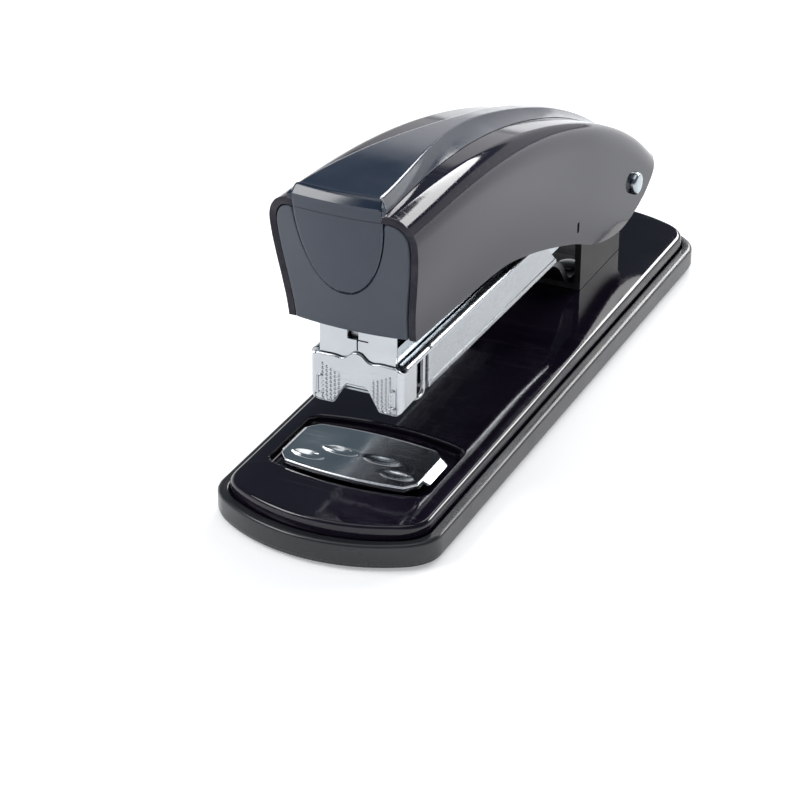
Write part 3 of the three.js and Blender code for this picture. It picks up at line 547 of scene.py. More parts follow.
# Slot, kind of finish, colour, second colour, roughness, then what the kind's function takes next.
FINISH_LIST = [
    ("base_enamel", lacquer, (0.006, 0.004, 0.010), (0.012, 0.009, 0.018), 0.06),
    ("bracket_enamel", lacquer, (0.012, 0.013, 0.013), (0.018, 0.019, 0.019), 0.3, 0.006, 1.17),
    ("handle_enamel", lacquer, (0.010, 0.009, 0.018), (0.015, 0.014, 0.026), 0.06, 0.004, 1.28),
    ("cap_plastic", moulded, (0.072, 0.082, 0.104), (0.080, 0.090, 0.113), 0.55, 0.02),
    ("inlay_plastic", moulded, (0.012, 0.021, 0.042), (0.016, 0.026, 0.050), 0.15, 0.003, 2600, 0.7),
    ("tray_plastic", moulded, (0.020, 0.021, 0.024), (0.030, 0.031, 0.034), 0.24, 0.012, 1900, 0.5),
    ("foot_rubber", rubber, (0.02, 0.02, 0.021), (0.034, 0.034, 0.034), 0.85),
    ("nose_chrome", bright_metal, (0.55, 0.575, 0.60), (0.49, 0.51, 0.535), 0.22, 0.1, 0, 0.003),
    ("anvil_chrome", bright_metal, (0.78, 0.80, 0.82), (0.68, 0.70, 0.73), 0.13, 0.08),
    ("polished_steel", bright_metal, (0.44, 0.48, 0.51), (0.38, 0.42, 0.45), 0.18, 0.1),
    ("cast_zinc", bright_metal, (0.44, 0.46, 0.485), (0.39, 0.41, 0.43), 0.2, 0.06, 0.001, 0.0006),
    ("zinc_plated_steel", bright_metal, (0.56, 0.57, 0.58), (0.46, 0.47, 0.49), 0.32, 0.14),
    ("spring_steel", bright_metal, (0.52, 0.52, 0.53), (0.40, 0.40, 0.42), 0.25, 0.12),
    ("blackened_spring", bright_metal, (0.05, 0.05, 0.055), (0.08, 0.08, 0.085), 0.34, 0.12),
    ("staple_steel", bright_metal, (0.66, 0.67, 0.69), (0.56, 0.57, 0.60), 0.24, 0.1),
    ("blade_steel", bright_metal, (0.50, 0.51, 0.53), (0.40, 0.41, 0.43), 0.28, 0.1, 0.008),
    ("pusher_plastic", moulded, (0.018, 0.018, 0.019), (0.028, 0.028, 0.030), 0.4),
]
FINISHES = {slot: make(slot, *values) for slot, make, *values in FINISH_LIST}


def finished(piece, body, slot, *stands_for):
    """Gives a piece its finish and its body, and hides the CAD nodes it stands for."""
    piece.data.materials.clear()
    piece.data.materials.append(FINISHES[slot])
    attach(piece, body)
    if stands_for:
        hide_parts(*stands_for)
    return piece


# ------------ base


def base_outline(half_width, half_length, bow=38.0, corner=4.0):
    """The closed outline of the base: straight sides, bowed ends and rounded corners."""
    corner = min(corner, half_width * 0.5)
    sagitta = bow - math.sqrt(bow**2 - half_width**2)
    end = math.asin((half_width - corner) / bow)
    corner_y = half_length - bow + bow * math.cos(end)
    corner_x = bow * math.sin(end)
    side_y = half_length - sagitta - corner
    places = [(half_width, side_y), (half_width, half_length - sagitta), (corner_x, corner_y)]
    turn = pulled(*np.array(places), np.linspace(0, 1, 11)[:, None])
    sweep = np.linspace(end, -end, 26)[1:-1]
    front = np.stack([bow * np.sin(sweep), half_length - bow + bow * np.cos(sweep)], 1)
    side = np.linspace([half_width, -side_y], [half_width, side_y], 60, endpoint=False)[1:]
    mirror = np.array([-1, 1])
    half = np.vstack([side, turn, front, (turn * mirror)[::-1]])
    return np.vstack([half, -half])


def crown(x, y):
    """How far the base plate's top has dropped at x from its middle; the rear is flatter."""
    flat_half, slope_width = 16, 5.3
    over = np.clip(np.abs(x) - flat_half, 0, None)
    return (0.55 - 0.5 * smoothstep(y, -30, 12)) * (over / slope_width) ** 2


def level(outline, z, crowned=0.0):
    """An outline in x and y at a height, or with the crown's drop below it."""
    return np.column_stack([outline, z - crowned * crown(outline[:, 0], outline[:, 1])])


def barrel(half_width, front, rear, bow, corner):
    """A closed outline with straight sides, bowed front and rear, and cut corners."""
    sagitta = bow - math.sqrt(bow**2 - half_width**2)
    reach = math.asin((half_width - corner) / bow)
    sweep = np.linspace(reach, -reach, 30)
    back = np.stack([bow * np.sin(sweep), rear - bow + bow * np.cos(sweep)], 1)
    ahead = np.stack([-bow * np.sin(sweep), front + bow - bow * np.cos(sweep)], 1)
    right = [[half_width, front + sagitta + corner], [half_width, rear - sagitta - corner]]
    left = [[-x, y] for x, y in right[::-1]]
    return np.vstack([right, back, left, ahead])


SKIRT_BOTTOM = 3.4
RECESS_HALF_WIDTH, RECESS_FRONT, RECESS_REAR = 18.0, -67.7, -42.0
RECESS_BOW, RECESS_CORNER = 60.0, 1.4
RECESS_FLOOR = BASE_TOP - 1.9
DIMPLE_X, DIMPLE_Y = -16.7, -63.7
STUD_SLOT = (-1.8, -59.4, 1.8, -51.7)


def recess_loop(grow, z):
    sides = RECESS_HALF_WIDTH + grow, RECESS_FRONT - grow, RECESS_REAR + grow
    return level(barrel(*sides, RECESS_BOW, RECESS_CORNER), z)


def plate_loop(inset, z, crowned=0.0):
    return level(base_outline(PLATE_HIGH[0] - inset, PLATE_HIGH[1] - inset), z, crowned)


def base_plate():
    """The pressed plate: a skirt, a soft edge, the crowned top, and the recess the anvil slides in."""
    edge, lip = 0.9, 0.7
    loops = [plate_loop(SHEET + inset, BASE_TOP - SHEET, 1) for inset in (19.5, 14, 9, 5, 2.6, 1.2, 0)]
    skirt = [(SHEET, 0.3), (SHEET - 0.3, 0), (0.25, 0), (0, 0.25)]
    loops += [plate_loop(inset, SKIRT_BOTTOM + up) for inset, up in skirt]
    loops.append(plate_loop(0, (SKIRT_BOTTOM + BASE_TOP) / 2))
    loops += [plate_loop(edge * across, BASE_TOP - edge * (1 - up), 1) for across, up in quarter(8)]
    loops += [plate_loop(inset, BASE_TOP, 1) for inset in (2.2, 3.4, 4.8, 6.3, 8.2, 10.5, 13.5, 17, 21)]
    plate = tube("base_plate_skin", loops)
    join(plate, tube("pan", [recess_loop(SHEET, z) for z in (RECESS_FLOOR - SHEET, BASE_TOP - lip)]))

    walls = [recess_loop(grow, RECESS_FLOOR + up) for grow, up in ((-0.5, 0), (-0.15, 0.15), (0, 0.5))]
    walls += [recess_loop(lip * across, BASE_TOP - lip + lip * up) for across, up in quarter(7)]
    walls += [recess_loop(lip + 1.5, BASE_TOP + up) for up in (0.15, 1.5)]
    dimple = turned("dimple", [[0, -0.35], [0.7, -0.3], [1.0, 0.0], [1.2, 0.3], [0, 0.3]], 40)
    put(dimple, DIMPLE_X, DIMPLE_Y, BASE_TOP - 0.02)
    stud_slot = prism("stud_slot", rounded(rectangle(*STUD_SLOT), 1.7), 0, 9, "z")
    cut(plate, tube("pocket", walls), dimple, stud_slot)
    return finished(shade(plate, 35), "base", "base_enamel", "base_plate")


def base_tray():
    """The tray under and round the plate: a narrower foot, a soft rim, and room for the plate inside."""
    foot, rim, edge, floor_z, gap = BASE_LOW[2], BASE_HIGH[2], 0.8, 2.4, 0.3

    def outer(inset, z):
        return level(base_outline(BASE_HIGH[0] - inset, BASE_HIGH[1] - inset), z)

    under = [(24, 0), (16, 0), (8, 0), (3, 0), (0.9, 0)]
    step = [(0.45, 0.12), (0.3, 0.35), (0.3, 0.75), (0.02, 0.95), (0, 1.15)]
    loops = [outer(inset, foot + up) for inset, up in under + step]
    loops.append(outer(0, (foot + rim) / 2))
    loops += [outer(edge * across, rim - edge + edge * up) for across, up in quarter(8)]
    lip = [(-0.45, rim), (-0.12, rim - 0.12), (0, rim - 0.45), (0, floor_z + 0.3)]
    inside = [(inset, floor_z) for inset in (0.3, 3, 8, 14, 20)]
    loops += [plate_loop(inset - gap, z) for inset, z in lip + inside]
    tray = shade(tube("base_tray_skin", loops), 50)
    return finished(tray, "base", "tray_plastic", "base_tray")


def rubber_foot(name):
    """A long pad with a softened edge and a shallow hollow underneath."""
    low, high = cad(name)
    x, y = (low[:2] + high[:2]) / 2
    half_width, half_length = (high[:2] - low[:2]) / 2
    ends = half_length - half_width
    loops = []
    profile = [(0.5, high[2]), (0.05, high[2]), (0.02, 0.4), (0.1, 0.12), (0.3, 0.0), (1.6, 0.0)]
    for shrink, z in [*profile, (1.9, 0.18), (2.4, 0.18)]:
        rear = arc(x, y + ends, half_width - shrink, 0, 180, 16)
        front = arc(x, y - ends, half_width - shrink, 180, 360, 16)
        loops.append(level(np.vstack([rear, front]), z))
    pad = shade(tube(name + "_pad", loops), 50)
    return finished(pad, "base", "foot_rubber", name)


# ------------ anvil

GROOVE_HALF_WIDTH = 1.5
WING_DROP = 1.9
WING_SECTION = np.array(
    [[15.0, 10.22], [15.6, 10.2], [15.85, 10.08], [16.9, 9.12], [16.95, 8.98], [16.85, 8.8]]
    + [[16.35, 8.45], [16.2, 8.45], [15.35, 9.25], [15.0, 9.3]]
)


def groove_depth(x, y, middle_x, middle_y, half_length):
    """How far a clinch groove and the fine line round it lower the anvil's top."""
    across = (x - middle_x) / half_length
    along = (y - middle_y) / GROOVE_HALF_WIDTH
    bowl = np.clip(1 - across**2 - along**2, 0, None)
    rim = np.abs(np.sqrt(across**2 + along**2) - 1.05)
    return 0.62 * bowl**0.8 + 0.04 * (1 - smoothstep(rim, 0, 0.12))


def anvil_wing(side):
    """The lip turned down at one side of the anvil, to push it by."""
    front, rear, tip_radius, set_back = ANVIL_Y - 4.4, ANVIL_Y + 5.9, 0.5, 1.6
    middle = WING_SECTION.mean(0)
    loops = []
    for share in np.linspace(0, 1, 25):
        near = min(share, 1 - share) * (rear - front)
        ring = middle + (WING_SECTION - middle) * (1 - 0.3 * edge_drop(near, tip_radius))
        slant = set_back * (ANVIL_TOP - ring[:, 1]) / WING_DROP * (1 - share)
        loops.append(np.column_stack([side * ring[:, 0], lerp(front, rear, share) + slant, ring[:, 1]]))
    return tube("wing", loops)


def anvil_plate():
    """The chromed plate with its inner and outer pair of grooves, and a wing at each side."""
    half, thick, bow, corner, edge = 15.6, 1.1, 82.0, 2.2, 0.35
    inner_y = ANVIL_Y - 0.2
    outer_y = inner_y - ANVIL_SLIDE
    x = gathered(-half, half, (0, 0.05, 0.15), 0.35, 150)
    bowed = bow - np.sqrt(bow**2 - x**2) + np.clip(np.abs(x) - (half - corner), 0, None)
    front, rear = ANVIL_LOW[1] + bowed, ANVIL_HIGH[1] - bowed
    share = gathered(0, 1, (0, 0.003, 0.01, 0.022), 0.035, 88)[:, None]
    y = front * (1 - share) + rear * share
    x = np.broadcast_to(x, y.shape)
    top = np.full(y.shape, ANVIL_TOP)
    for side in (-1, 1):
        top = top - groove_depth(x, y, side * 4.6, inner_y, 4.1)
        top = top - groove_depth(x, y, side * 10, outer_y, 3.8)
    near = np.minimum(np.minimum(y - front, rear - y), half - np.abs(x))
    top = top - edge * edge_drop(near, edge)
    under = np.full(y.shape, ANVIL_TOP - thick)
    body = closed_between("anvil_body", np.stack([x, y, top], 2), np.stack([x, y, under], 2))
    plate = merge("anvil_plate_skin", [body, anvil_wing(-1), anvil_wing(1)])
    return finished(shade(plate, 45), "anvil", "anvil_chrome", "anvil_plate")


# ------------ magazine


def magazine_prism(name, outline, half_width):
    """A side outline in u and w, pushed across the magazine."""
    outline = np.asarray(outline, float)
    loops = [np.column_stack([np.full(len(outline), x), outline]) for x in (-half_width, half_width)]
    return tube(name, in_magazine(loops))


def at_u(ring, u):
    """A cross-section in x and w, at a place along the magazine."""
    return np.column_stack([ring[:, 0], np.full(len(ring), u), ring[:, 1]])


def both_sides(right):
    """The right half of a symmetric line, with its mirror image after it."""
    right = np.asarray(right, float)
    mirror = np.ones(right.shape[1])
    mirror[0] = -1
    return np.vstack([right, (right * mirror)[::-1]])


def channel_rib(side, section, rear):
    """The rib that runs on from the channel to the nose, along the top of one side."""
    front, loops = -119.2, []
    for u, shrink in ((front, 0.25), (front + 0.1, 0.08), (front + 0.3, 0), (rear - 2.3, 0), (rear, 0)):
        ring = section + (section.mean(0) - section) * shrink
        loops.append(at_u(ring * [side, 1], u))
    return tube("rib", in_magazine(loops))


def magazine_channel():
    """The cast outer channel: a U with rounded top edges and a thicker band along its foot."""
    half, wall, bottom, top, front, rear = 10.9, 2.1, -4.74, 4.9, -109.0, -41.5
    band, band_top, floor_w = 0.16, bottom + 1.8, bottom + 0.6
    foot = [[0, bottom], [half - 1.0, bottom], [half - 0.4, bottom + 0.06], [half - 0.12, bottom + 0.25]]
    foot += [[half + 0.02, bottom + 0.6], [half + band - 0.03, band_top - 0.2]]
    foot += [[half + band, band_top - 0.1], [half + band - 0.03, band_top], [half, band_top + 0.06]]
    wall_line = [[half, w] for w in np.linspace(band_top + 0.6, top - 1.5, 6)]
    crest_line = (arc(0, 0, 1, 5, 90, 15) * [1.5, 1.1] + [half - 1.5, top - 1.1]).tolist()
    crest_line[0][0] = half
    inner = arc(half - wall + 0.08, top - 0.08, 0.08, 90, 180, 3).tolist()
    floor_line = [[half - wall, floor_w + 0.3], [half - wall - 0.3, floor_w], [0.0, floor_w]]
    outline = both_sides([*foot, *wall_line, *crest_line, *inner, *floor_line])
    outline = np.delete(outline, [len(outline) // 2, len(outline) - 1], 0)
    loops = []
    for u in [front, front + 0.06, front + 0.2, front + 0.4, *np.linspace(front + 2, rear, 24)]:
        shrink = 0.3 * max(0.0, 1 - (u - front) / 0.4) ** 2
        ring = outline.copy()
        ring[:, 0] -= np.sign(ring[:, 0]) * shrink * (np.abs(ring[:, 0]) > half - 0.8)
        ring[:, 1] -= shrink * (ring[:, 1] > top - 0.6) * (np.abs(ring[:, 0]) > half - wall + 0.1)
        loops.append(at_u(ring, u))
    channel = tube("channel_body", in_magazine(loops))
    ramp = [[rear + 4, bottom + 1.2], [rear, bottom + 1.2], [rear - 9.3, top + 0.1]]
    ramp += [[rear - 9.3, top + 4], [rear + 4, top + 4]]
    cut(channel, magazine_prism("ramp", rounded(ramp, 0.4), 20))
    rib = np.array([[half - wall, 3.7], [half - 0.1, 3.7], [half, 3.8], *crest_line, *inner])
    ribs = [channel_rib(side, rib, front + 0.3) for side in (-1, 1)]
    channel = merge("magazine_channel_skin", [channel, *ribs])
    return finished(shade(channel, 40), "magazine", "cast_zinc", "magazine_channel")


# The relief on the nose's face.
RELIEF = 0.3
FIRST_DOT_X, DOT_PITCH = 3.9, 0.92
OBLONG_RADIUS = 0.55
RIB_PLACES = (9.15, 9.6)


def nose_top(x):
    """The wavy top edge of the nose, with a hump in the middle."""
    places = [0, 1.0, 1.9, 2.6, 3.6, 5.0, 6.5, 8.6, 9.5, 10.4]
    heights = [6.3, 6.05, 5.3, 4.75, 4.55, 4.75, 4.75, 4.65, 4.4, 3.75]
    line = smooth_line(np.column_stack([places, heights]))
    return np.interp(np.abs(x), line[:, 0], line[:, 1])


def nose_bottom(x):
    """The lower edge of the nose: two legs with an arch between, each with rounded corners."""
    places = [0, 2.0, 2.4, 2.9, 4.9, 5.4, 8.4, 9.4, 10.0, 10.4]
    heights = [-1.3, -1.3, -1.5, -2.2, -5.7, -6.05, -6.1, -5.9, -5.5, -4.9]
    return np.interp(np.abs(x), places, heights)


def to_upright(x, w, at_x, at_w, half_length):
    """The distance from a short upright line on the nose's face."""
    return np.sqrt((x - at_x) ** 2 + np.clip(np.abs(w - at_w) - half_length, 0, None) ** 2)


def nose_relief(x, w, bottom):
    """How far the face of the nose is pressed out: dots, a raised oblong on each leg, and two fine ribs."""
    x = np.abs(np.broadcast_to(x, w.shape))
    pressed = np.zeros(w.shape)
    for column in range(5):
        row_place = (w + 6.0) / DOT_PITCH + 0.5 * (column % 2)
        to_row = np.abs(row_place - np.round(row_place)) * DOT_PITCH
        to_dot = np.sqrt((x - (FIRST_DOT_X + column * DOT_PITCH)) ** 2 + to_row**2)
        inside = (w > bottom + 0.5) & (w < 1.2 + 0.45 * column)
        pressed += np.where(inside, 0.26 * (1 - smoothstep(to_dot, 0.1, 0.32)), 0)
    to_ring = np.abs(to_upright(x, w, 8.1, -2.3, 1.5) - OBLONG_RADIUS)
    pressed += RELIEF * (1 - smoothstep(to_ring, 0.1, 0.24))
    for rib_x in RIB_PLACES:
        pressed += 0.14 * (1 - smoothstep(to_upright(x, w, rib_x, -0.8, 3.8), 0.08, 0.2))
    return np.minimum(pressed, RELIEF)


def nose_piece():
    """The bright nose: one wall that runs round the front, with a wavy top and an arch between two legs."""
    half, front, rear, radius, edge = 10.4, -121.0, -114.2, 1.5, 0.4
    side = np.linspace([half, rear], [half, front + radius], 18, endpoint=False)
    turn = arc(half - radius, front + radius, radius, 0, -90, 12)
    across = np.linspace([half - radius, front], [radius - half, front], 150)[1:-1]
    mirror = np.array([-1, 1])
    path = np.vstack([side, turn, across, (turn * mirror)[::-1], (side * mirror)[::-1]])
    x, u = path.T
    direction = np.gradient(path, axis=0)
    outward = np.stack([-direction[:, 1], direction[:, 0]], 1)
    outward /= np.linalg.norm(outward, axis=1, keepdims=True)
    outward *= np.sign(np.sum(outward * (path - [0, -116.0]), 1, keepdims=True))
    lift = smoothstep(u, -118.4, -116.4)
    bottom = nose_bottom(x) * (1 - lift) + np.maximum(nose_bottom(x), -4.75) * lift
    under_rib = smoothstep(u, -119.75, -119.5)
    top = nose_top(x) * (1 - under_rib) + 3.55 * under_rib
    share = np.linspace(0, 1, 72)[:, None]
    w = bottom * (1 - share) + top * share
    pressed = (nose_relief(x, w, bottom) - RELIEF) * (u < front + 0.02)
    offset = pressed - edge * edge_drop(np.minimum(w - bottom, top - w), edge)
    outer = path[None] + outward[None] * offset[..., None]
    wall = np.where(u < front + radius * 0.3, 0.5, 1.25)[:, None]
    inner = np.broadcast_to(path - outward * wall, outer.shape)
    grids = [in_magazine(np.dstack([flat, w])) for flat in (outer, inner)]
    nose = shade(closed_between("nose_skin", *grids), 55)
    return finished(nose, "magazine", "nose_chrome", "nose_piece")


def front_wall():
    """The wall above the nose, with a notch and a slit."""
    slit = [[-0.2, 6.6], [0.1, 6.6], [0.1, 8.8], [2.4, 8.8], [2.4, 9.05], [-0.2, 9.05]]

    def slab(name, shape, front, rear):
        return tube(name, in_magazine([at_u(shape, front), at_u(shape, rear)]))

    wall = slab("front_wall", rounded(rectangle(-8.5, -1.8, 8.5, 12.4), 0.5), -120.1, -119.4)
    notch = slab("notch", rounded(rectangle(-2.3, 8.9, 0.2, 11.2), 0.35), -122, -115)
    cut(wall, notch, slab("slit", rounded(slit, 0.1, 3), -122, -115))
    soften(wall, 0.14, 3, 50)
    return finished(wall, "magazine", "nose_chrome", "front_plate")


def nose_wire():
    """A wire that comes down each side behind the nose, bends forward and crosses under the core."""
    half, top, bottom, rear, front, bend = 9.9, 3.4, -5.25, -110.0, -113.6, 1.4
    down = np.linspace([half, rear, top], [half, rear, bottom + bend], 8, endpoint=False)
    turn = arc(rear - bend, bottom + bend, bend, 0, -90, 8)
    turn = np.column_stack([np.full(len(turn), half), turn])
    cross = arc(half - bend, front + bend, bend, 0, -90, 8)
    cross = np.column_stack([cross, np.full(len(cross), bottom)])
    line = both_sides(np.vstack([down, turn, cross]))
    made = wire("nose_wire_loop", in_magazine(line), 0.45, 14)
    return finished(made, "magazine", "spring_steel", "nose_wire")


def staples():
    """Half a strip of staples, each one a wire of its own."""
    half, leg, wire_size, pitch, count, bend = 6.45, 6.0, 0.5, 0.5, 100, 0.55
    front, bottom = -117.6, -3.44
    top = bottom + leg
    outer = np.vstack([[half, bottom + 0.35], arc(half - bend, top - bend, bend, 0, 90, 5)])
    inner = np.vstack([[half - wire_size, bottom + 0.1], arc(half - bend, top - bend, 0.12, 0, 90, 3)])
    outside = both_sides(np.vstack([[half - 0.2, bottom], outer]))
    outline = np.vstack([outside, inner * [-1, 1], inner[::-1]])
    made = []
    for k in range(count):
        loops = []
        for share, shrink in ((0.02, 0.035), (0.07, 0.0), (0.43, 0.0), (0.48, 0.035)):
            ring = outline.copy()
            ring[:, 0] -= np.sign(ring[:, 0]) * shrink
            ring[:, 1] -= shrink
            loops.append(at_u(ring, front + k * pitch + share))
        made.append(tube("staple", in_magazine(loops)))
    strip = shade(merge("staple_strip_wires", made), 50)
    return finished(strip, "magazine", "staple_steel", "staple_strip")


def handle_spring():
    """The upright coil between the magazine and the spring cup."""
    radius, size, bottom, top, u = 3.9, 0.5, 5.35, 15.2, -22.5
    coil = helix(radius, bottom + size, top - size, 5, 36)
    line = in_magazine(np.column_stack([coil[:, 0], coil[:, 1] + u, coil[:, 2]]))
    return finished(wire("handle_spring_coil", line, size, 14), "magazine", "spring_steel", "handle_spring")


def pusher_spring():
    """The coil round the guide rod, behind the pusher."""
    radius, size, front, rear, w = 1.25, 0.25, -53.3, -15.3, -1.1
    coil = helix(radius, front + size, rear - size, 14, 22)
    line = in_magazine(np.column_stack([coil[:, 0], coil[:, 2], coil[:, 1] + w]))
    return finished(wire("pusher_spring_coil", line, size, 10), "magazine", "spring_steel", "pusher_spring")


# ------------ handle

# The handle's side view, as [y, z]: the crest of the inlay and the shell's lower edge.
CREST = smooth_line(
    [[-74, 73.45], [-68.5, 73.3], [-45, 72], [-25, 69.6], [-5, 65.6]]
    + [[15, 60], [35, 52.8], [52, 45], [66, 37], [77.4, 28.6]]
)
EDGE = smooth_line(
    [[-80, 42.9], [-61.6, 41.3], [-40, 40.1], [-18, 38.4], [-4, 35.2], [9, 31.2]]
    + [[24, 25.8], [38, 19.9], [54, 16.9], [68, 19.9], [77, 26.4]]
)
# The front is part of a drum that leans back: its radius, its lean, and its foot as (y, z).
DRUM = 68.0
LEAN = math.radians(10.4)
DRUM_FOOT = (-62.8, 41.8)
# The section: half the width at the belly and the foot, at the front and at the rear.
BELLY = (16.0, 13.7)
FOOT = (14.1, 13.5)
ROOF_HALF = 10.7
SHOULDER = 6.5
UNTRIMMED_DEPTH = 32
WALL = 1.5
REAR_END = 77.6
PIN_HOLE_RADIUS = 2.28
SIDE_SLOT = (25.2, 27.9, 26.4, 30.4)
TONGUE_HALF, TONGUE_TIP = 9.7, 50.6
INLAY_COLUMNS = 61


def crest(y):
    return np.interp(y, CREST[:, 0], CREST[:, 1])


def lower_edge(y):
    return np.interp(y, EDGE[:, 0], EDGE[:, 1])


def roof(y):
    """The height of the shell's roof, which lies less deep under the crest towards the rear."""
    return crest(y) - lerp(3.3, 1.5, np.clip((np.asarray(y) + 70) / 148, 0, 1))


def drum_bow(x):
    """How far the bowed front lies behind its own middle, at x."""
    return (DRUM - np.sqrt(DRUM**2 - np.asarray(x) ** 2)) / math.cos(LEAN)


def drum_front(x, z):
    """Where the bowed, leaning front of the handle is, at a place in the front view."""
    return DRUM_FOOT[0] + drum_bow(x) - (z - DRUM_FOOT[1]) * math.tan(LEAN)


def at_slimness(y, widths):
    """A width between the front's and the rear's, as the handle grows slimmer along y."""
    return lerp(*widths, smoothstep(y, -70, 30))


def side_x(y, z):
    """Half the width of the handle's side at a height, below the shoulder."""
    foot, belly = at_slimness(y, FOOT), at_slimness(y, BELLY)
    return belly + (foot - belly) * smoothstep(roof(y) - z, SHOULDER, 28)


def half_section(y, inset=0.0, trimmed=True, count=72):
    """The right half of the handle's section at y, from its lower edge to the middle of the roof.

    Untrimmed, it goes on below the lower edge. An inset moves it inwards.
    """
    belly = at_slimness(y, BELLY)
    top = float(roof(y))
    low = float(lower_edge(y)) if trimmed else top - UNTRIMMED_DEPTH
    start = top - SHOULDER
    heights = np.linspace(min(low, start), start, 40, endpoint=False)
    side = np.column_stack([side_x(y, heights), heights])
    angle = np.linspace(0, math.pi / 2, 40)
    across = belly - (belly - ROOF_HALF) * (1 - np.cos(angle))
    corner = np.column_stack([across, start + SHOULDER * np.sin(angle)])
    flat = np.column_stack([np.linspace(ROOF_HALF, 0, 16)[1:], np.full(15, top)])
    line = np.vstack([side, corner, flat])
    first = int(np.argmax(line[:, 1] >= low - 1e-6))
    if trimmed and first > 0:
        a, b = line[first - 1], line[first]
        line = np.vstack([lerp(a, b, (low - a[1]) / (b[1] - a[1])), line[first:]])
    if inset:
        direction = np.gradient(line, axis=0)
        normal = np.column_stack([direction[:, 1], -direction[:, 0]])
        normal /= np.linalg.norm(normal, axis=1, keepdims=True)
        line = line - normal * inset
        line[-1, 0] = 0
    # The points gather where the line turns: a radian counts as much as 9 mm.
    step = np.diff(line, axis=0)
    heading = np.unwrap(np.arctan2(step[:, 1], step[:, 0]))
    turning = np.abs(np.concatenate([[0], np.diff(heading)]))
    weight = np.concatenate([[0], np.cumsum(np.linalg.norm(step, axis=1) + 9 * turning)])
    places = np.linspace(0, weight[-1], count)
    return np.stack([np.interp(places, weight, line[:, k]) for k in (0, 1)], 1)


def handle_skin():
    """The pressed shell: its sections, from the bowed front to the rear end, with an even wall."""
    ys = np.linspace(-76, REAR_END, 300)
    right = np.array([half_section(y) for y in ys])
    table = np.concatenate([right, right[:, ::-1][:, 1:] * [-1, 1]], 1)
    picked = np.arange(table.shape[1])

    def at(y):
        place = np.interp(y, ys, np.arange(len(ys)))
        low = np.clip(place.astype(int), 0, len(ys) - 2)
        t = (place - low)[..., None]
        return table[low, picked] * (1 - t) + table[low + 1, picked] * t

    # Where each line along the shell meets the drum; each pass brings the place closer.
    y_front = np.full(len(picked), -66.0)
    for _ in range(12):
        y_front = drum_front(*at(y_front).T)
    grid = []
    for t in [0, 0.0012, 0.003, 0.006, *np.linspace(0.011, 1, 150)]:
        y = y_front + (REAR_END - y_front) * t
        x, z = at(y).T
        grid.append(np.column_stack([x, y, z])[::-1])
    shell = thick_sheet("handle_skin", grid, WALL)
    soften(shell, 0.5, 4, 60)
    hole = turned("hole", [[0, -30], [PIN_HOLE_RADIUS, -30], [PIN_HOLE_RADIUS, 30], [0, 30]], 48)
    slot = prism("slot", rounded(rectangle(*SIDE_SLOT), 0.3), -30, 30, "x")
    cut(shell, put_on_hinge(hole), slot)
    return finished(shade(shell), "handle", "handle_enamel", "handle_shell")


def tongue_half(z, grow=0.0):
    """Half the width of the tongue at a height in the front view."""
    side, tip = -TONGUE_HALF - grow, TONGUE_TIP - grow
    curve = bezier((side, 69), (side, 61), (-6.5, tip), (0, tip), 60)
    return np.interp(z, curve[::-1, 1], -curve[::-1, 0])


def front_cap():
    """The cap that closes the handle's front, with a pocket for the tongue."""
    gap, bottom, edge = WALL + 0.3, 41.4, 0.35
    roof_z = half_section(float(drum_front(8.0, 68.0)), gap, False)[-1, 1]
    rows = np.array([0, 0.004, 0.012, 0.025, *np.linspace(0.04, 1, 110)])
    columns = gathered(-1, 1, (0, 0.008, 0.025, 0.05), 0.07, 121)
    grid, back = [], []
    for z in bottom + (roof_z - 0.02 - bottom) * rows:
        line = half_section(float(drum_front(10.0, z)), gap, False)
        half = float(np.interp(z, line[:, 1], line[:, 0])) if z < line[-1, 1] else line[-1, 0]
        half = max(half, 0.5)
        x = columns * half
        to_pocket = np.abs(x) - (tongue_half(z, 0.25) if z > 50.4 else -1.0)
        if z < 52:
            to_pocket = np.maximum(to_pocket, 50.35 - z)
        depth = 0.1 - 1.2 * (1 - smoothstep(to_pocket, -0.5, 0.1))
        depth = depth - edge * edge_drop(np.minimum(half - np.abs(x), z - bottom), edge)
        heights = np.full(len(x), z)
        grid.append(np.column_stack([x, drum_front(x, z) - depth, heights]))
        back.append(np.column_stack([x, drum_front(x, z) + 2.1, heights]))
    cap = shade(closed_between("front_cap_skin", grid, back), 50)
    return finished(cap, "handle", "cap_plastic", "front_cap")


def inlay_base(y):
    """The height of the inlay's foot, just above the roof."""
    return float(roof(y)) + 0.12


def inlay_row(flank, middle):
    """A row of points across the inlay: its left flank, its middle, and the flank mirrored."""
    return [*flank, *middle, *([-x, y, z] for x, y, z in flank[::-1])]


def tongue_row(z):
    """The tongue's front face, in the cap's pocket."""
    half = max(0.4, float(tongue_half(z))) if z < 69 else TONGUE_HALF
    proud, edge = 0.3, 0.35
    x = np.linspace(-1, 1, INLAY_COLUMNS) * (half - 0.06)
    drop = edge * np.maximum(edge_drop(half - np.abs(x), edge), edge_drop(z - TONGUE_TIP, edge))
    flank = [(-half, 0.9), (-half, 0.4), (-half + 0.02, 0.05)]
    flank = [[place, drum_front(place, z) + behind, z] for place, behind in flank]
    return inlay_row(flank, np.column_stack([x, drum_front(x, z) - proud + drop, np.full(len(x), z)]))


def bend_row(y, top, half):
    """A row of the chamfer between the tongue and the top."""
    base, flank = inlay_base(y), 9.8
    x = np.linspace(-1, 1, INLAY_COLUMNS) * half
    height = top - 0.3 * edge_drop(half - np.abs(x), 0.6)
    left = [(-flank, -flank, 0), (-flank + 0.05, -flank, 0.35), (-half - 0.06, -half, 0.75)]
    left = [[place, y + drum_bow(bowed), lerp(base, top, share)] for place, bowed, share in left]
    return inlay_row(left, np.column_stack([x, y + drum_bow(x), height]))


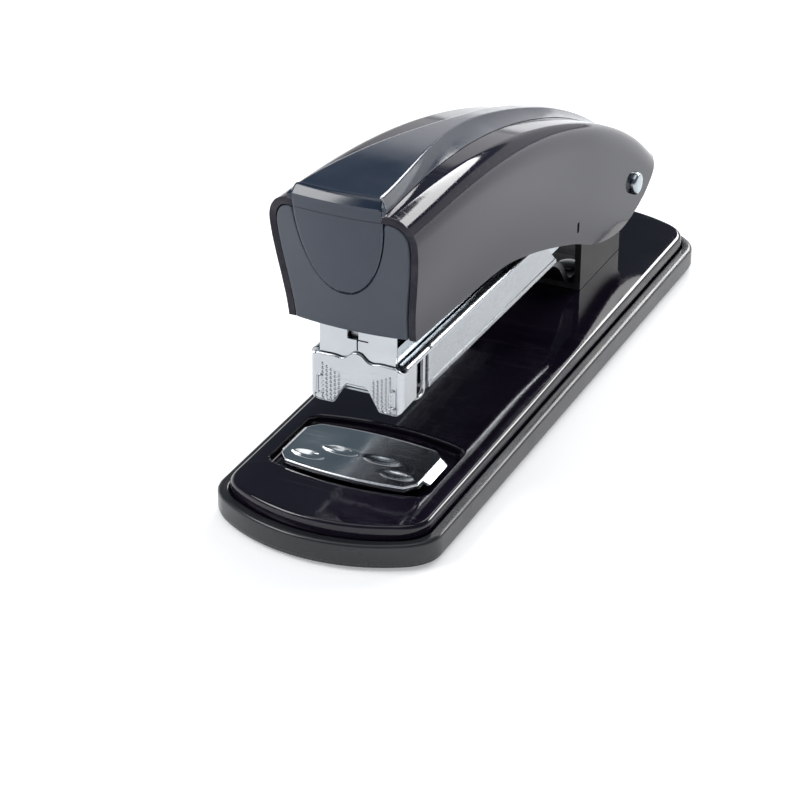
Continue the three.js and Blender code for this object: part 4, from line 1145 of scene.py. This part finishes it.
def top_row(y):
    """A row of the top: it slopes from the roof up to the crest, and is rounded off at the rear."""
    half = lerp(9.2, 1.9, float(smoothstep(y, -72, -4)))
    foot = min(9.8, lerp(4.2, 10.0, (1 - np.clip((y + 66) / 110, 0, 1)) ** 1.6))
    bowed = float(1 - smoothstep(y, -66, -50))
    base = inlay_base(y)
    top = lerp(float(crest(y)), base + 0.25, float(smoothstep(y, 66, 69.4)) ** 2)
    knee = np.array([lerp(half, foot, 0.4), lerp(base, top, 0.2)])
    low, high = np.array([foot, base]), np.array([half, top - 0.12 * (top - base)])
    flank = [pulled(low, knee, high, share) for share in (0, 0.4, 0.8)]
    flank = [[-x, y + drum_bow(x) * bowed, z] for x, z in flank]
    x = np.linspace(-1, 1, INLAY_COLUMNS) * half
    height = top - 0.12 * (top - base) * edge_drop(half - np.abs(x), 0.7)
    return inlay_row(flank, np.column_stack([x, y + drum_bow(x) * bowed, height]))


def top_inlay():
    """The long inlay on the roof and the tongue that hangs over the front of the cap, in one sheet."""
    shares = [0, 0.02, 0.05, 0.09, *np.linspace(0.14, 1, 56)]
    grid = [tongue_row(TONGUE_TIP + (71.2 - TONGUE_TIP) * share**1.6) for share in shares]
    chamfer = [(-68.62, 71.6, 9.68), (-68.35, 71.9, 9.62), (-67.6, 72.75, 9.45)]
    grid += [bend_row(*place) for place in [*chamfer, (-67.2, 73.12, 9.35), (-66.9, 73.25, 9.28)]]
    places = [*np.linspace(-66.6, -60, 8), *np.linspace(-59, 60, 110), *np.linspace(60.8, 69.4, 12)]
    grid += [top_row(y) for y in places]
    inlay = shade(thick_sheet("top_inlay_skin", grid, 0.7), 50)
    return finished(inlay, "handle", "inlay_plastic", "top_inlay")


# ------------ pin, rivets and kept CAD pieces


def pivot_pin():
    """The pin, with a head at each end."""
    end, head, under_head = PIN_HIGH[0], 2.7, 13.75
    half = [[0, end], [1.5, end], [2.2, end - 0.12], [2.55, end - 0.4], [head, end - 0.8]]
    half += [[head, under_head], [PIN_RADIUS, under_head]]
    pin = put_on_hinge(turned("pivot_pin_turned", half + [[r, -h] for r, h in half[::-1]], 72))
    return finished(shade(pin, 40), "base", "polished_steel", "pivot_pin")


def bracket_rivet(name):
    """A rivet with a domed head above and a flat one below."""
    low, high = cad(name)
    x, y = (low[:2] + high[:2]) / 2
    bottom, top = low[2], high[2]
    grip_low, grip_high = bottom + 0.75, top - 0.75
    dome = arc(0, 0, 1, 84, 0, 8) * [2.6, 0.69] + [0, grip_high + 0.06]
    profile = [[0, top], *dome, [2.55, grip_high], [1.5, grip_high], [1.5, grip_low], [2.5, grip_low]]
    profile += [[2.5, grip_low - 0.2], [2.0, bottom + 0.1], [1.2, bottom], [0, bottom]]
    rivet = turned(name + "_turned", profile, 48)
    shade(put(rivet, x, y, 0), 40)
    return finished(rivet, "base", "zinc_plated_steel", name)


def dress_cad_nodes():
    """Every CAD piece gets soft edges and its finish; those that a mesh stands for aren't seen."""
    slots = {row["node"]: row["material_slot"] for row in frame["record"]["subparts"]}
    widths = {"rear_bracket": 0.3, "magazine_core": 0.15, "driver_blade": 0.08}
    for name, node in frame["nodes"].items():
        node.data.materials.clear()
        node.data.materials.append(FINISHES[slots[name]])
        joined = node.modifiers.new("joined", "WELD")
        joined.merge_threshold = 0.003 * MM
        flat = node.modifiers.new("flat_faces", "DECIMATE")
        flat.decimate_type = "DISSOLVE"
        flat.angle_limit = math.radians(0.8)
        bevel(node, widths.get(name, 0.12), 3, 35)
        shade(node, 50)


dress_cad_nodes()
base_plate()
base_tray()
for foot_name in ("foot_front_left", "foot_front_right", "foot_rear_left", "foot_rear_right"):
    rubber_foot(foot_name)
for number in (1, 2, 3, 4):
    bracket_rivet(f"bracket_rivet_{number}")
pivot_pin()
anvil_plate()
nose_piece()
front_wall()
magazine_channel()
nose_wire()
staples()
handle_spring()
pusher_spring()
handle_skin()
front_cap()
top_inlay()

# ------------ floor, light and camera


def floor():
    """A wide sheet of white paper, with a little light of its own so that it stays white."""
    reach = 4000
    corners = [(x, y, 0) for x, y in rectangle(-reach, -reach, reach, reach)]
    made = make_object("floor", corners, [[0, 1, 2, 3]])
    paper = Finish("floor_paper", (0.93, 0.93, 0.935), 0.9, Specular_IOR_Level=0.1)
    paper.tint(paper.between(paper.noise(3, 2), 0.3, 0.7), (0.915, 0.915, 0.92))
    paper.shader.inputs["Emission Color"].default_value = (1, 1, 1, 1)
    paper.shader.inputs["Emission Strength"].default_value = 0.34
    made.data.materials.append(paper.done())


def softbox(name, azimuth, elevation, width, height, radiance, distance=1.5):
    """A rectangular light that faces the middle of the object; azimuth turns from +Y towards +X."""
    light = bpy.data.lights.new(name, "AREA")
    light.shape = "RECTANGLE"
    light.size, light.size_y = width, height
    light.energy = radiance * width * height * math.pi
    lamp = bpy.data.objects.new(name, light)
    az, el = math.radians(azimuth), math.radians(elevation)
    toward = Vector((math.sin(az) * math.cos(el), math.cos(az) * math.cos(el), math.sin(el)))
    lamp.location = Vector((0, 0, 0.03)) + toward * distance
    lamp.rotation_mode = "QUATERNION"
    lamp.rotation_quaternion = toward.to_track_quat("Z", "Y")
    lamp.visible_camera = False
    bpy.context.scene.collection.objects.link(lamp)


def surroundings():
    """A dark studio for reflections, and plain white where the camera sees past the floor."""
    world = bpy.data.worlds.new("studio")
    world.use_nodes = True
    nodes, link = world.node_tree.nodes, world.node_tree.links.new
    height = nodes.new("ShaderNodeSeparateXYZ")
    link(nodes.new("ShaderNodeTexCoord").outputs["Generated"], height.inputs[0])
    band = nodes.new("ShaderNodeMapRange")
    band.interpolation_type = "SMOOTHSTEP"
    band.inputs["From Min"].default_value, band.inputs["From Max"].default_value = 0.21, 0.25
    link(height.outputs["Z"], band.inputs["Value"])
    blend = nodes.new("ShaderNodeMix")
    blend.data_type = "RGBA"
    link(band.outputs["Result"], blend.inputs["Factor"])
    blend.inputs[MIX_A].default_value = (0.9, 0.9, 0.92, 1)
    blend.inputs[MIX_B].default_value = (0.085, 0.11, 0.13, 1)
    reflected = nodes["Background"]
    link(blend.outputs[MIX_RESULT], reflected.inputs[0])
    seen = nodes.new("ShaderNodeBackground")
    seen.inputs[0].default_value = (0.93, 0.93, 0.935, 1)
    either = nodes.new("ShaderNodeMixShader")
    link(nodes.new("ShaderNodeLightPath").outputs["Is Camera Ray"], either.inputs[0])
    link(reflected.outputs[0], either.inputs[1])
    link(seen.outputs[0], either.inputs[2])
    link(either.outputs[0], nodes["World Output"].inputs[0])
    bpy.context.scene.world = world


floor()
surroundings()
softbox("overhead", 0, 90, 1.4, 1.4, 1.2)
softbox("rear", 12.5, 27.2, 1.35, 0.31, 14.0)
softbox("rear_high", -6, 40.5, 0.57, 0.3, 4.0)
softbox("left", -122, 46, 0.75, 0.55, 8.0)

# The camera that took the photo, as solved from the parallel edges of the base.
camera = bpy.data.objects.new("camera", bpy.data.cameras.new("camera"))
bpy.context.scene.collection.objects.link(camera)
camera.data.sensor_width = 36
camera.data.lens = 114.48
camera.data.clip_start, camera.data.clip_end = 0.05, 20
camera.location = (0.2019, -0.4615, 0.273)
camera.rotation_mode = "QUATERNION"
aim = Vector((-0.3774, 0.7894, -0.4842)).normalized()
camera.rotation_quaternion = aim.to_track_quat("-Z", "Y")
bpy.context.scene.camera = camera
bpy.context.scene.view_settings.view_transform = "Standard"
